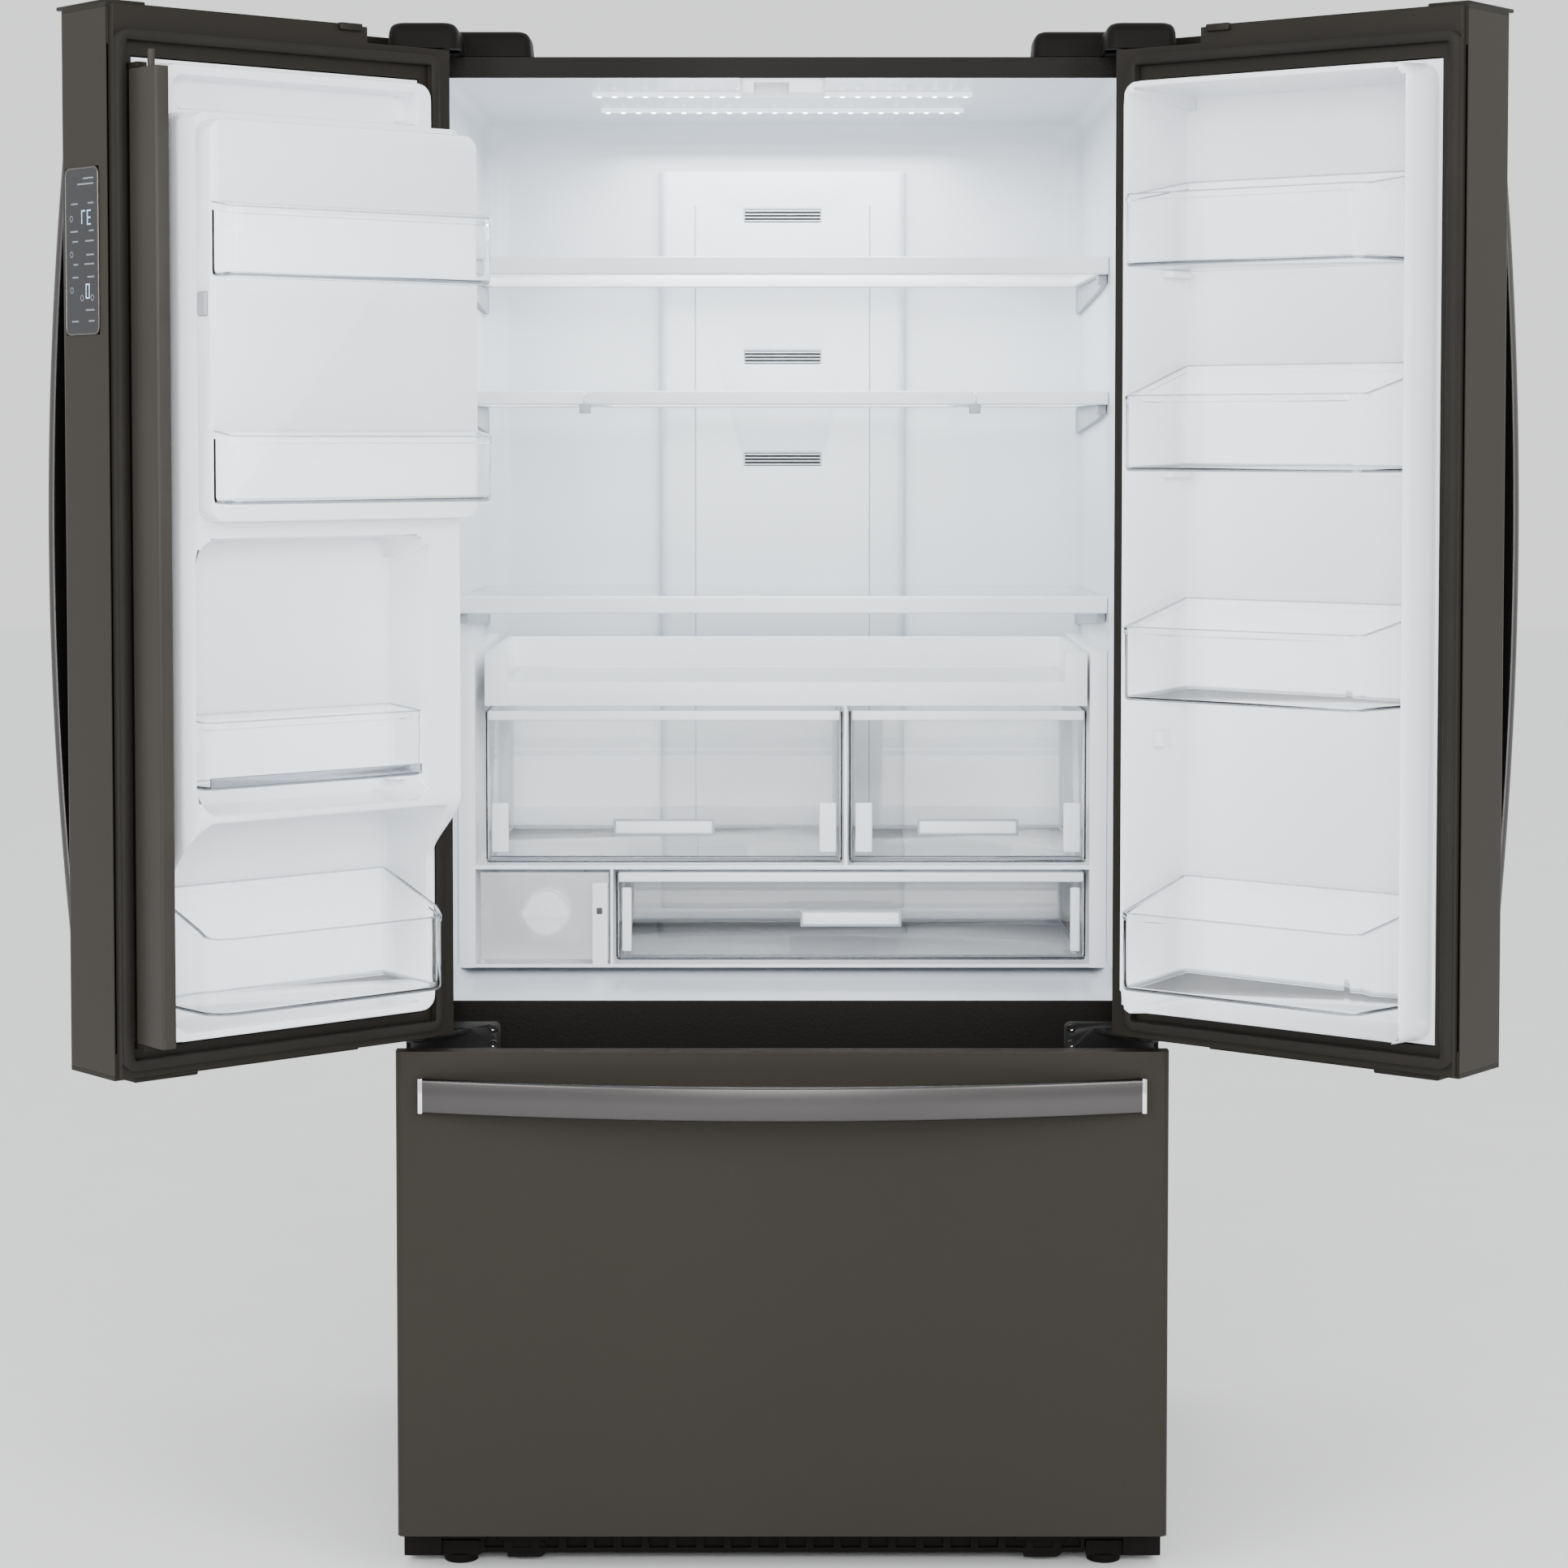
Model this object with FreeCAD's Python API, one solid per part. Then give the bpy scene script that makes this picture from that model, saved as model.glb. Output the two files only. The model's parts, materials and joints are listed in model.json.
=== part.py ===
import FreeCAD, Part
import math
import os

# French door refrigerator with a bottom freezer drawer. Millimetres, +Z up, +Y to the back, +X to the right.
# The origin is on the floor under the middle of the cabinet. The two doors are drawn shut and then turned open.

V = FreeCAD.Vector
X_AXIS, Y_AXIS, Z_AXIS = V(1, 0, 0), V(0, 1, 0), V(0, 0, 1)

# ---- driving dimensions: cabinet
CABINET_WIDTH = 902.0
CABINET_DEPTH = 730.0
CABINET_TOP = 1786.0
CABINET_BASE = 32.0
SHEET = 1.2
FRAME_PLATE = 3.0
LINER_WALL = 3.0
SIDE_INSULATION = 47.0
TOP_INSULATION = 24.5
BACK_INSULATION = 130.0
FRIDGE_SILL = 662.0
FRIDGE_FLOOR = 668.0
SILL_RAMP = 33.0
FREEZER_CEILING = 578.0
FREEZER_FLOOR = 72.0
FREEZER_SIDE_INSULATION = 51.0
MACHINE_ROOM_TOP = 330.0
MACHINE_ROOM_DEPTH = 245.0
LINER_CORNER = 25.0
BOARD = 35.0

# ---- driving dimensions: doors
DOOR_GAP = 4.0
DOOR_THICKNESS = 100.0
TRIM_STEP = 10.0
GASKET = 11.5
GASKET_SPACE = 12.0
GASKET_WIDTH = 12.0
DOOR_BOTTOM = 634.0
DOOR_ABOVE_TOP = 19.0
DOOR_SHEET = 1.5
DOOR_CORNER = 8.0
LEFT_DOOR_OPEN = 139.0
RIGHT_DOOR_OPEN = 141.5
PIVOT_FROM_SIDE = 20.0
PIVOT_FROM_TRIM = 50.0
HINGE_PIN = 14.0
LOWER_PIN = 12.0
PIN_PLAY = 0.05
CAP_PLATE = 6.0
RECESS_BELOW_TOP = 2.0
RECESS_LENGTH = 117.0
RECESS_LIP = 15.0
DYKE_INSET = 50.0
DYKE_DEPTH = 36.0
DYKE_WIDTH = 27.0
DYKE_DRAFT = 6.0

# ---- driving dimensions: centre flap between the doors
FLAP_WIDTH = 56.0
FLAP_THICKNESS = 18.0
FLAP_BOTTOM = 677.0
FLAP_BELOW_LINER = 29.5
FLAP_PIVOT_X = -25.0
FLAP_PIN = 6.0

# ---- driving dimensions: freezer drawer
DRAWER_BOTTOM = 50.0
DRAWER_TOP = 622.0
DRAWER_STEP = 598.0
DRAWER_LIP = 25.0
HANDLE_WIDTH = 40.0
HANDLE_BAND = 12.0
HANDLE_BOW = 66.0
HANDLE_END = 14.0
DRAWER_HANDLE_INSET = 27.5
DRAWER_HANDLE_Z = 552.0
DOOR_HANDLE_BOTTOM = 680.0
DOOR_HANDLE_BELOW_TOP = 58.0
DOOR_HANDLE_INSET = 20.0
DOOR_HANDLE_BOW = 72.0

# ---- driving dimensions: inside the refrigerator
SHELF_SETBACK = 170.0
SHELF_DEPTH = 395.0
SHELF_BAR = 20.0
GLASS = 5.0
TOP_SHELF = (1538.0, 1560.0)
MIDDLE_SHELF = (1377.0, 1394.0)
LOWER_SHELF = (1118.0, 1139.0)
MIDDLE_SPLITS = (-244.5, 238.5)
SPLIT_GAP = 4.0
SIDE_FRAME = 21.0
SIDE_FRAME_BOTTOM = 676.0
SIDE_FRAME_TOP = 1072.0
BASKET_LEFT_CLEAR = 34.0
BASKET_RIGHT_CLEAR = 25.0
TRAY_BOTTOM = 1003.0
TRAY_DECK = 1032.0
TRAY_TOP = 1069.0
TRAY_POST = 28.0
CRISPER = (806.0, 997.0)
CRISPER_SPLIT = 79.0
ROW_PLATE = 5.0
DELI = (684.0, 795.0)
FILTER_BAY_RIGHT = -211.0
BIN_WALL = 3.0
RUN_CLEAR = 1.0

# ---- derived places
HALF = CABINET_WIDTH / 2
FLANGE_Y = -CABINET_DEPTH / 2
BACK_Y = CABINET_DEPTH / 2
TRIM_Y = FLANGE_Y - GASKET_SPACE
SKIN_BACK_Y = TRIM_Y - TRIM_STEP
FRONT_Y = SKIN_BACK_Y - DOOR_THICKNESS
PIVOT_X = HALF - PIVOT_FROM_SIDE
PIVOT_Y = TRIM_Y - PIVOT_FROM_TRIM
LINER_X = HALF - SIDE_INSULATION
LINER_TOP = CABINET_TOP - TOP_INSULATION
LINER_BACK = BACK_Y - BACK_INSULATION
FREEZER_X = HALF - FREEZER_SIDE_INSULATION
SHELF_FRONT = FLANGE_Y + SHELF_SETBACK
SHELF_BACK = SHELF_FRONT + SHELF_DEPTH
DOOR_WIDTH = HALF - DOOR_GAP / 2
DOOR_TOP = CABINET_TOP + DOOR_ABOVE_TOP
RECESS_FLOOR = CABINET_TOP - RECESS_BELOW_TOP
FLAP_TOP = LINER_TOP - FLAP_BELOW_LINER
DOOR_HANDLE_TOP = DOOR_TOP - DOOR_HANDLE_BELOW_TOP
DRAWER_HANDLE_LENGTH = CABINET_WIDTH - 2 * DRAWER_HANDLE_INSET
BASKET_LEFT = BASKET_LEFT_CLEAR - LINER_X
BASKET_RIGHT = LINER_X - BASKET_RIGHT_CLEAR
LINER_FRONT = FLANGE_Y + FRAME_PLATE


# ---- helpers
def block(x0, x1, y0, y1, z0, z1):
    return Part.makeBox(x1 - x0, y1 - y0, z1 - z0, V(x0, y0, z0))


def rod(x, y, z, radius, length, axis=Z_AXIS):
    return Part.makeCylinder(radius, length, V(x, y, z), axis)


def prism(points, z0, z1):
    """A polygon in X and Y, drawn up from z0 to z1."""
    wire = Part.makePolygon([V(x, y, z0) for x, y in points + points[:1]])
    return Part.Face(wire).extrude(V(0, 0, z1 - z0))


def side_profile(points, x0, x1):
    """A polygon in Y and Z, drawn along X from x0 to x1."""
    wire = Part.makePolygon([V(x0, y, z) for y, z in points + points[:1]])
    return Part.Face(wire).extrude(V(x1 - x0, 0, 0))


def tapered(x0, x1, y0, y1, z0, z1, draft):
    """A block whose far side in Y is smaller by the draft on all four edges."""
    return Part.makeWedge(x0, y0, z0, z0 + draft, x0 + draft, x1, y1, z1, z1 - draft, x1 - draft)


def rounded(shape, radius, axis, keep=lambda middle: True):
    """Fillet the straight edges along an axis whose middle point passes the test."""
    chosen = []
    for edge in shape.Edges:
        ends = edge.Vertexes
        if len(ends) != 2:
            continue
        run = ends[1].Point - ends[0].Point
        middle = (ends[1].Point + ends[0].Point) * 0.5
        if abs(run.normalize().dot(axis)) > 0.999 and keep(middle):
            chosen.append(edge)
    return shape.makeFillet(radius, chosen)


def open_tray(x0, x1, y0, y1, z0, z1, wall, radius):
    """A bin open at the top with rounded upright corners."""
    outer = rounded(block(x0, x1, y0, y1, z0, z1), radius, Z_AXIS)
    hollow = block(x0 + wall, x1 - wall, y0 + wall, y1 - wall, z0 + wall, z1 + wall)
    return outer.cut(rounded(hollow, radius - wall, Z_AXIS))


def ring(x0, x1, y0, y1, z0, z1, width):
    """A flat rectangular ring that faces along Y."""
    hole = block(x0 + width, x1 - width, y0 - 1, y1 + 1, z0 + width, z1 - width)
    return block(x0, x1, y0, y1, z0, z1).cut(hole)


def mirrored(shape):
    return shape.mirror(V(0, 0, 0), X_AXIS)


def both_sides(shape):
    return [shape, mirrored(shape)]


def joined(first, *others):
    shape = first.fuse(list(others))
    return shape.removeSplitter()


def open_left(shape):
    turned = shape.copy()
    turned.rotate(V(-PIVOT_X, PIVOT_Y, 0), Z_AXIS, -LEFT_DOOR_OPEN)
    return turned


def open_right(shape):
    """Turns a piece drawn on the left door's side into the right door's, opened."""
    turned = mirrored(shape)
    turned.rotate(V(PIVOT_X, PIVOT_Y, 0), Z_AXIS, RIGHT_DOOR_OPEN)
    return turned


def save(name, *shapes):
    solids = [solid for shape in shapes for solid in shape.Solids]
    whole = solids[0] if len(solids) == 1 else Part.makeCompound(solids)
    whole.exportStep("parts/" + name + ".step")


# ---- cabinet
def cabinet_shell():
    under_top = CABINET_TOP - SHEET
    side = block(-HALF, -HALF + SHEET, LINER_FRONT, BACK_Y, CABINET_BASE, under_top)
    top = block(-HALF, HALF, LINER_FRONT, BACK_Y, under_top, CABINET_TOP)
    back = block(-HALF + SHEET, HALF - SHEET, BACK_Y - SHEET, BACK_Y, MACHINE_ROOM_TOP + 15, under_top)
    save("cabinet_shell", *both_sides(side), top, back, rear_cover())


def front_frame():
    """Rails and posts round the two openings, butted together."""
    rails = [block(-HALF, HALF, FLANGE_Y, LINER_FRONT, z0, z1)
             for z0, z1 in ((CABINET_BASE + 15, FREEZER_FLOOR), (FREEZER_CEILING, FRIDGE_SILL),
                            (LINER_TOP, CABINET_TOP))]
    fridge_post = block(-HALF, -LINER_X, FLANGE_Y, LINER_FRONT, FRIDGE_SILL, LINER_TOP)
    freezer_post = block(-HALF, -FREEZER_X, FLANGE_Y, LINER_FRONT, FREEZER_FLOOR, FREEZER_CEILING)
    save("front_frame", *rails, *both_sides(fridge_post), *both_sides(freezer_post))


def insulation_boards():
    front, back = FLANGE_Y + 10, BACK_Y - 10
    inner = HALF - SHEET - 1
    side = block(-inner, -inner + BOARD, front, back, CABINET_BASE + 30, CABINET_TOP - 25)
    top = block(-LINER_X, LINER_X, front, back, LINER_TOP + LINER_WALL + 2, CABINET_TOP - SHEET - 1)
    rear = block(-LINER_X, LINER_X, LINER_BACK + 65, back, MACHINE_ROOM_TOP + 20, LINER_TOP)
    middle = block(-FREEZER_X, FREEZER_X, front, LINER_BACK, FREEZER_CEILING + LINER_WALL + 2,
                   FRIDGE_SILL - LINER_WALL - 2)
    save("insulation_boards", *both_sides(side), top, rear, middle)


def fridge_liner():
    """Walls, ceiling, back and ramped floor as butted plates, with a wedge in each back corner."""
    wall = LINER_WALL
    under = FRIDGE_SILL - wall
    side = block(-LINER_X - wall, -LINER_X, LINER_FRONT, LINER_BACK + wall, under, LINER_TOP + wall)
    ceiling = block(-LINER_X, LINER_X, LINER_FRONT, LINER_BACK + wall, LINER_TOP, LINER_TOP + wall)
    back = block(-LINER_X, LINER_X, LINER_BACK, LINER_BACK + wall, FRIDGE_FLOOR, LINER_TOP)
    floor = side_profile([(LINER_FRONT, under), (LINER_FRONT, FRIDGE_SILL),
                          (LINER_FRONT + SILL_RAMP, FRIDGE_FLOOR), (LINER_BACK + wall, FRIDGE_FLOOR),
                          (LINER_BACK + wall, under)], -LINER_X, LINER_X)
    wedge = prism([(-LINER_X, LINER_BACK - LINER_CORNER), (-LINER_X + LINER_CORNER, LINER_BACK),
                   (-LINER_X, LINER_BACK)], FRIDGE_FLOOR, LINER_TOP)
    save("fridge_liner", *both_sides(side), ceiling, back, floor, *both_sides(wedge))


def freezer_liner():
    """Butted plates round a room whose floor steps up over the machine room."""
    wall = LINER_WALL
    step_y = BACK_Y - MACHINE_ROOM_DEPTH
    step_z = MACHINE_ROOM_TOP + wall
    low_side = block(-FREEZER_X - wall, -FREEZER_X, LINER_FRONT, step_y + wall, FREEZER_FLOOR - wall,
                     FREEZER_CEILING + wall)
    high_side = block(-FREEZER_X - wall, -FREEZER_X, step_y + wall, LINER_BACK + wall, step_z - wall,
                      FREEZER_CEILING + wall)
    floor = block(-FREEZER_X, FREEZER_X, LINER_FRONT, step_y + wall, FREEZER_FLOOR - wall, FREEZER_FLOOR)
    riser = block(-FREEZER_X, FREEZER_X, step_y, step_y + wall, FREEZER_FLOOR, step_z - wall)
    step = block(-FREEZER_X, FREEZER_X, step_y, LINER_BACK, step_z - wall, step_z)
    back = block(-FREEZER_X, FREEZER_X, LINER_BACK, LINER_BACK + wall, step_z - wall, FREEZER_CEILING)
    ceiling = block(-FREEZER_X, FREEZER_X, LINER_FRONT, LINER_BACK + wall, FREEZER_CEILING,
                    FREEZER_CEILING + wall)
    save("freezer_liner", *both_sides(low_side), *both_sides(high_side), floor, riser, step, back, ceiling)


# ---- cold air parts
DUCT_WIDTH = 332.0
DUCT_DEPTH = 18.0
DUCT_Z = (700.0, 1696.0)
VENT_Z = (1636.0, 1445.0, 1307.0)
VENT_SIZE = (104.0, 18.0, 6.0)
FAN_Z = 470.0
FAN_RADIUS = 55.0
FAN_PLAY = 7.0
FAN_SHAFT = 3.0
COVER_PLATE = 4.0


def air_duct_cover():
    back = LINER_BACK - 0.2
    cover = block(-DUCT_WIDTH / 2, DUCT_WIDTH / 2, back - DUCT_DEPTH, back, *DUCT_Z)
    cover = rounded(cover, 12, Z_AXIS, lambda m: m.y < back - 1)
    for z in VENT_Z:
        cover = cover.cut(block(-VENT_SIZE[0] / 2, VENT_SIZE[0] / 2, back - DUCT_DEPTH - 1,
                                back - DUCT_DEPTH + VENT_SIZE[2], z - VENT_SIZE[1] / 2, z + VENT_SIZE[1] / 2))
    save("air_duct_cover", cover)


def ceiling_lights():
    strips = []
    for setback in (174.0, 384.0):
        y = FLANGE_Y + setback
        strip = block(-234, 234, y - 6, y + 6, LINER_TOP - 5.5, LINER_TOP)
        strips.append(rounded(strip, 3, X_AXIS, lambda m: m.z < LINER_TOP - 2))
    save("ceiling_lights", *strips)


def flap_guide():
    """A pocket under the ceiling that turns the centre flap as the left door shuts."""
    body = block(-50, 51, FLANGE_Y + 5, FLANGE_Y + 65, LINER_TOP - 16.5, LINER_TOP)
    body = rounded(body, 8, Z_AXIS)
    pocket = block(FLAP_PIVOT_X - 9, FLAP_PIVOT_X + 33, FLANGE_Y, FLANGE_Y + 43,
                   LINER_TOP - 17.5, LINER_TOP - 4.5)
    save("flap_guide", body.cut(pocket))


def fan_rotor(x, y, z, radius, depth, axis, blades):
    """A hub with pitched blades on a fixed shaft, blowing along the axis."""
    hub = Part.makeCylinder(radius * 0.3, depth, V(0, 0, -depth / 2), Z_AXIS)
    for i in range(blades):
        blade = block(radius * 0.25, radius, -depth * 0.55, depth * 0.55, -0.8, 0.8)
        blade.rotate(V(0, 0, 0), X_AXIS, 35)
        blade.rotate(V(0, 0, 0), Z_AXIS, i * 360.0 / blades)
        hub = hub.fuse(blade)
    hub = hub.common(Part.makeCylinder(radius, depth, V(0, 0, -depth / 2), Z_AXIS))
    hub = hub.cut(Part.makeCylinder(FAN_SHAFT + PIN_PLAY, depth + 2, V(0, 0, -depth / 2 - 1), Z_AXIS))
    turn = FreeCAD.Rotation(Z_AXIS, axis)
    hub.Placement = FreeCAD.Placement(V(x, y, z), turn)
    return hub


def evaporator_parts():
    y = BACK_Y - MACHINE_ROOM_DEPTH
    low = MACHINE_ROOM_TOP + LINER_WALL
    cover = block(-FREEZER_X + 0.5, FREEZER_X - 0.5, y, y + COVER_PLATE, low + 0.5, FREEZER_CEILING - 0.5)
    cover = cover.cut(rod(0, y - 1, FAN_Z, FAN_RADIUS + FAN_PLAY, COVER_PLATE + 2, Y_AXIS))
    shaft = rod(0, y + 6, FAN_Z, FAN_SHAFT, 34, Y_AXIS)
    motor = rod(0, y + 40, FAN_Z, 26, 34, Y_AXIS)
    arms = block(-FAN_RADIUS - 25, FAN_RADIUS + 25, y + 62, y + 66, FAN_Z - 8, FAN_Z + 8)
    posts = [block(side * (FAN_RADIUS + 20) - 5, side * (FAN_RADIUS + 20) + 5, y + COVER_PLATE, y + 66,
                   FAN_Z - 8, FAN_Z + 8) for side in (-1, 1)]
    save("evaporator_cover", joined(cover, shaft, motor, arms, *posts))
    save("evaporator_fan", fan_rotor(0, y + 22, FAN_Z, FAN_RADIUS, 22, Y_AXIS, 5))
    coil = block(-300, 300, y + 40, y + 100, low + 12, low + 15)
    for i in range(4):
        for row in (0, 1):
            coil = coil.fuse(rod(-300, y + 55 + 30 * row, low + 20 + 12 * i, 4, 600, X_AXIS))
    for i in range(25):
        x = -288 + i * 24
        coil = coil.fuse(block(x, x + 0.8, y + 42, y + 98, low + 14, low + 64))
    save("evaporator", coil)


# ---- machine room at the bottom of the back
ROOM_Y = BACK_Y - MACHINE_ROOM_DEPTH + LINER_WALL
FOOT_Y = FLANGE_Y - 45.0
FOOT_X = 383.0
ROLLER_X = 405.0
ROLLER_RADIUS = 20.0
ROLLER_Y = BACK_Y - 45.0
ROLLER_AXLE = 4.0
TRAY_SHEET = 4.0
CONDENSER_FAN = (-40.0, BACK_Y - 115.0, 170.0)
CONDENSER_FAN_RADIUS = 65.0


def base_tray():
    floor = block(-HALF + 11, HALF - 11, FLANGE_Y + 6, BACK_Y - 5, CABINET_BASE, CABINET_BASE + TRAY_SHEET)
    pieces = [floor]
    for side in (-1, 1):
        low_x, high_x = sorted((side * (HALF - 2), side * (FOOT_X - 22)))
        pieces.append(block(low_x, high_x, FOOT_Y - 22, FLANGE_Y + 10, 40, 46))
        pieces.append(block(low_x, high_x, FLANGE_Y + 5, FLANGE_Y + 10, CABINET_BASE, 46))
        low_x, high_x = sorted((side * (HALF - 2), side * (FOOT_X + 22)))
        shoe = block(low_x, high_x, FOOT_Y - 22, FOOT_Y + 20, 8, 42)
        pieces.append(rounded(shoe, 6, X_AXIS))
        for x in (side * ROLLER_X - 16, side * ROLLER_X + 12):
            ear = block(x, x + 4, ROLLER_Y - 12, ROLLER_Y + 12, 10, CABINET_BASE + 1)
            pieces.append(ear)
    tray = joined(*pieces)
    for side in (-1, 1):
        slot = block(side * ROLLER_X - 12, side * ROLLER_X + 12, ROLLER_Y - ROLLER_RADIUS - 4,
                     ROLLER_Y + ROLLER_RADIUS + 4, CABINET_BASE - 1, CABINET_BASE + TRAY_SHEET + 1)
        tray = tray.cut(slot)
        tray = tray.cut(rod(side * ROLLER_X - 30, ROLLER_Y, ROLLER_RADIUS, ROLLER_AXLE + PIN_PLAY, 60, X_AXIS))
        tray = tray.cut(rod(side * FOOT_X, FOOT_Y, 30, 6.35, 30))
    save("base_tray", tray)


def levelling_feet():
    feet = []
    for side in (-1, 1):
        foot = rod(side * FOOT_X, FOOT_Y, 0, 20, 9)
        stem = rod(side * FOOT_X, FOOT_Y, 8, 6, 40)
        nut = rod(side * FOOT_X, FOOT_Y, 33, 11, 7)
        feet.append(joined(foot, stem, nut))
    save("levelling_feet", *feet)


def rear_rollers():
    rollers = []
    for side in (-1, 1):
        wheel = rod(side * ROLLER_X - 10, ROLLER_Y, ROLLER_RADIUS, ROLLER_RADIUS, 20, X_AXIS)
        axle = rod(side * ROLLER_X - 18, ROLLER_Y, ROLLER_RADIUS, ROLLER_AXLE, 36, X_AXIS)
        rollers.append(joined(wheel, axle))
    save("rear_rollers", *rollers)


def toe_grille():
    inner = FOOT_X - 24
    plate = block(-inner, inner, FOOT_Y - 18, FOOT_Y - 14, 12, 46)
    shelf = block(-inner, inner, FOOT_Y - 18, FLANGE_Y - 0.2, 42, 46)
    grille = plate.fuse(shelf)
    slots = 22
    pitch = 2 * inner / slots
    for i in range(slots):
        x = -inner + (i + 0.5) * pitch
        grille = grille.cut(block(x - pitch * 0.36, x + pitch * 0.36, FOOT_Y - 20, FOOT_Y - 12, 18, 34))
    save("toe_grille", grille)


def compressor():
    floor = CABINET_BASE + TRAY_SHEET
    x, y = 240.0, BACK_Y - 115.0
    can = rod(x, y, floor + 20, 82, 150)
    can = can.makeFillet(34, [e for e in can.Edges if len(e.Vertexes) == 1 or e.Closed])
    plate = block(x - 105, x + 105, y - 70, y + 70, floor + 12, floor + 24)
    feet = [rod(x + dx, y + dy, floor, 12, 14) for dx in (-90, 90) for dy in (-55, 55)]
    pipe = rod(x - 40, y, floor + 150, 5, 60)
    save("compressor", joined(can, plate, pipe, *feet))


def condenser_parts():
    floor = CABINET_BASE + TRAY_SHEET
    fx, fy, fz = CONDENSER_FAN
    r = CONDENSER_FAN_RADIUS
    base = block(-290, -90, fy - 75, fy + 75, floor, floor + 6)
    coil = base
    for i in range(5):
        for row in (-1, 0, 1):
            coil = coil.fuse(rod(-285, fy + row * 45, floor + 40 + 40 * i, 4, 190, X_AXIS))
    for i in range(19):
        x = -282 + i * 10
        coil = coil.fuse(block(x, x + 0.8, fy - 70, fy + 70, floor + 5, floor + 225))
    shroud = block(fx - 26, fx - 22, fy - r - 15, fy + r + 15, floor, fz + r + 15)
    shroud = shroud.cut(rod(fx - 27, fy, fz, r + 4, 8, X_AXIS))
    motor = rod(fx + 18, fy, fz, 24, 32, X_AXIS)
    shaft = rod(fx - 12, fy, fz, FAN_SHAFT, 32, X_AXIS)
    strut = block(fx + 40, fx + 44, fy - r - 15, fy + r + 15, fz - 8, fz + 8)
    arms = [block(fx - 24, fx + 44, fy + side * (r + 10) - 4, fy + side * (r + 10) + 4, fz - 8, fz + 8)
            for side in (-1, 1)]
    save("condenser", coil, joined(shroud, motor, shaft, strut, *arms))
    save("condenser_fan", fan_rotor(fx, fy, fz, r, 20, X_AXIS, 5))


def rear_cover():
    """The vented plate over the machine room."""
    plate = block(-HALF + 14, HALF - 14, BACK_Y - 2, BACK_Y - 0.5, CABINET_BASE + 6, MACHINE_ROOM_TOP + 12)
    for group in (-1, 1):
        for i in range(9):
            z = 80 + i * 26
            plate = plate.cut(block(group * 220 - 150, group * 220 + 150, BACK_Y - 3, BACK_Y, z, z + 9))
    return plate


# ---- hinges that carry the doors
BRACKET = 5.0
BRACKET_BOSS = 16.0
COVER_WALL = 2.5
COVER_HEIGHT = 31.0
COVER_BOSS = 28.0
LEAF_Z = 625.0
SCREW_HEAD = 5.0
SCREW_SHANK = 3.0
CENTRE_SCREWS_Z = (629.5, 610.0)
CENTRE_SCREW_X = HALF - 105.0
TOP_SCREWS = ((11.0 - PIVOT_X, FLANGE_Y + 47.0), (79.0 - PIVOT_X, FLANGE_Y + 47.0))


def top_hinges():
    z0, z1 = CABINET_TOP, CABINET_TOP + BRACKET
    x, y = -PIVOT_X, PIVOT_Y
    plate = prism([(x - 5.5, y), (x + BRACKET_BOSS, y), (x + 50, y + 40), (x + 50, y + 66.5),
                   (x + 101, y + 66.5), (x + 101, y + 137), (x - 5.5, y + 137)], z0, z1)
    boss = rod(x, y, z0, BRACKET_BOSS, BRACKET)
    pin = rod(x, y, RECESS_FLOOR - 20, HINGE_PIN / 2, z1 - RECESS_FLOOR + 20)
    hinge = joined(plate, boss, pin)
    for sx, sy in TOP_SCREWS:
        hinge = hinge.cut(rod(sx, sy, z0 - 1, SCREW_SHANK + 0.2, BRACKET + 2))
    save("top_hinges", *both_sides(hinge))


def hinge_covers():
    x, y = -PIVOT_X, PIVOT_Y

    def outline(inset, z0, z1):
        nose = rod(x, y, z0, COVER_BOSS - inset, z1 - z0)
        over_door = block(x, x + 56 - inset, y - COVER_BOSS + inset, FLANGE_Y + 5, z0, z1)
        on_cabinet = block(x - 9 + inset, x + 134 - inset, FLANGE_Y + 1 + inset, FLANGE_Y + 80 - inset, z0, z1)
        neck = block(x - 9 + inset, x + 56 - inset, y, FLANGE_Y + 5, z0, z1)
        return joined(nose, over_door, on_cabinet, neck)

    top = CABINET_TOP + COVER_HEIGHT
    cover = outline(0, CABINET_TOP + 0.2, top).cut(outline(COVER_WALL, CABINET_TOP - 1, top - COVER_WALL))
    save("hinge_covers", *both_sides(cover))


def centre_hinges():
    x, y = -PIVOT_X, PIVOT_Y
    wing_front = FLANGE_Y - 4
    wing = block(x - 14, -CENTRE_SCREW_X + 9, wing_front, FLANGE_Y, 600, 638)
    wing = rounded(wing, 8, Y_AXIS, lambda m: m.x > x)
    leaf = prism([(x - 14, wing_front + 2), (x - 14, y), (x + 14, y), (x + 60, wing_front + 2)],
                 LEAF_Z, LEAF_Z + BRACKET)
    boss = rod(x, y, LEAF_Z, BRACKET_BOSS, BRACKET)
    pin = rod(x, y, LEAF_Z, LOWER_PIN / 2, DOOR_BOTTOM + 24 - LEAF_Z)
    hinge = joined(wing, leaf, boss, pin)
    for z in CENTRE_SCREWS_Z:
        hinge = hinge.cut(rod(-CENTRE_SCREW_X, wing_front - 1, z, SCREW_SHANK + 0.2, 6, Y_AXIS))
    save("centre_hinges", *both_sides(hinge))


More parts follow.
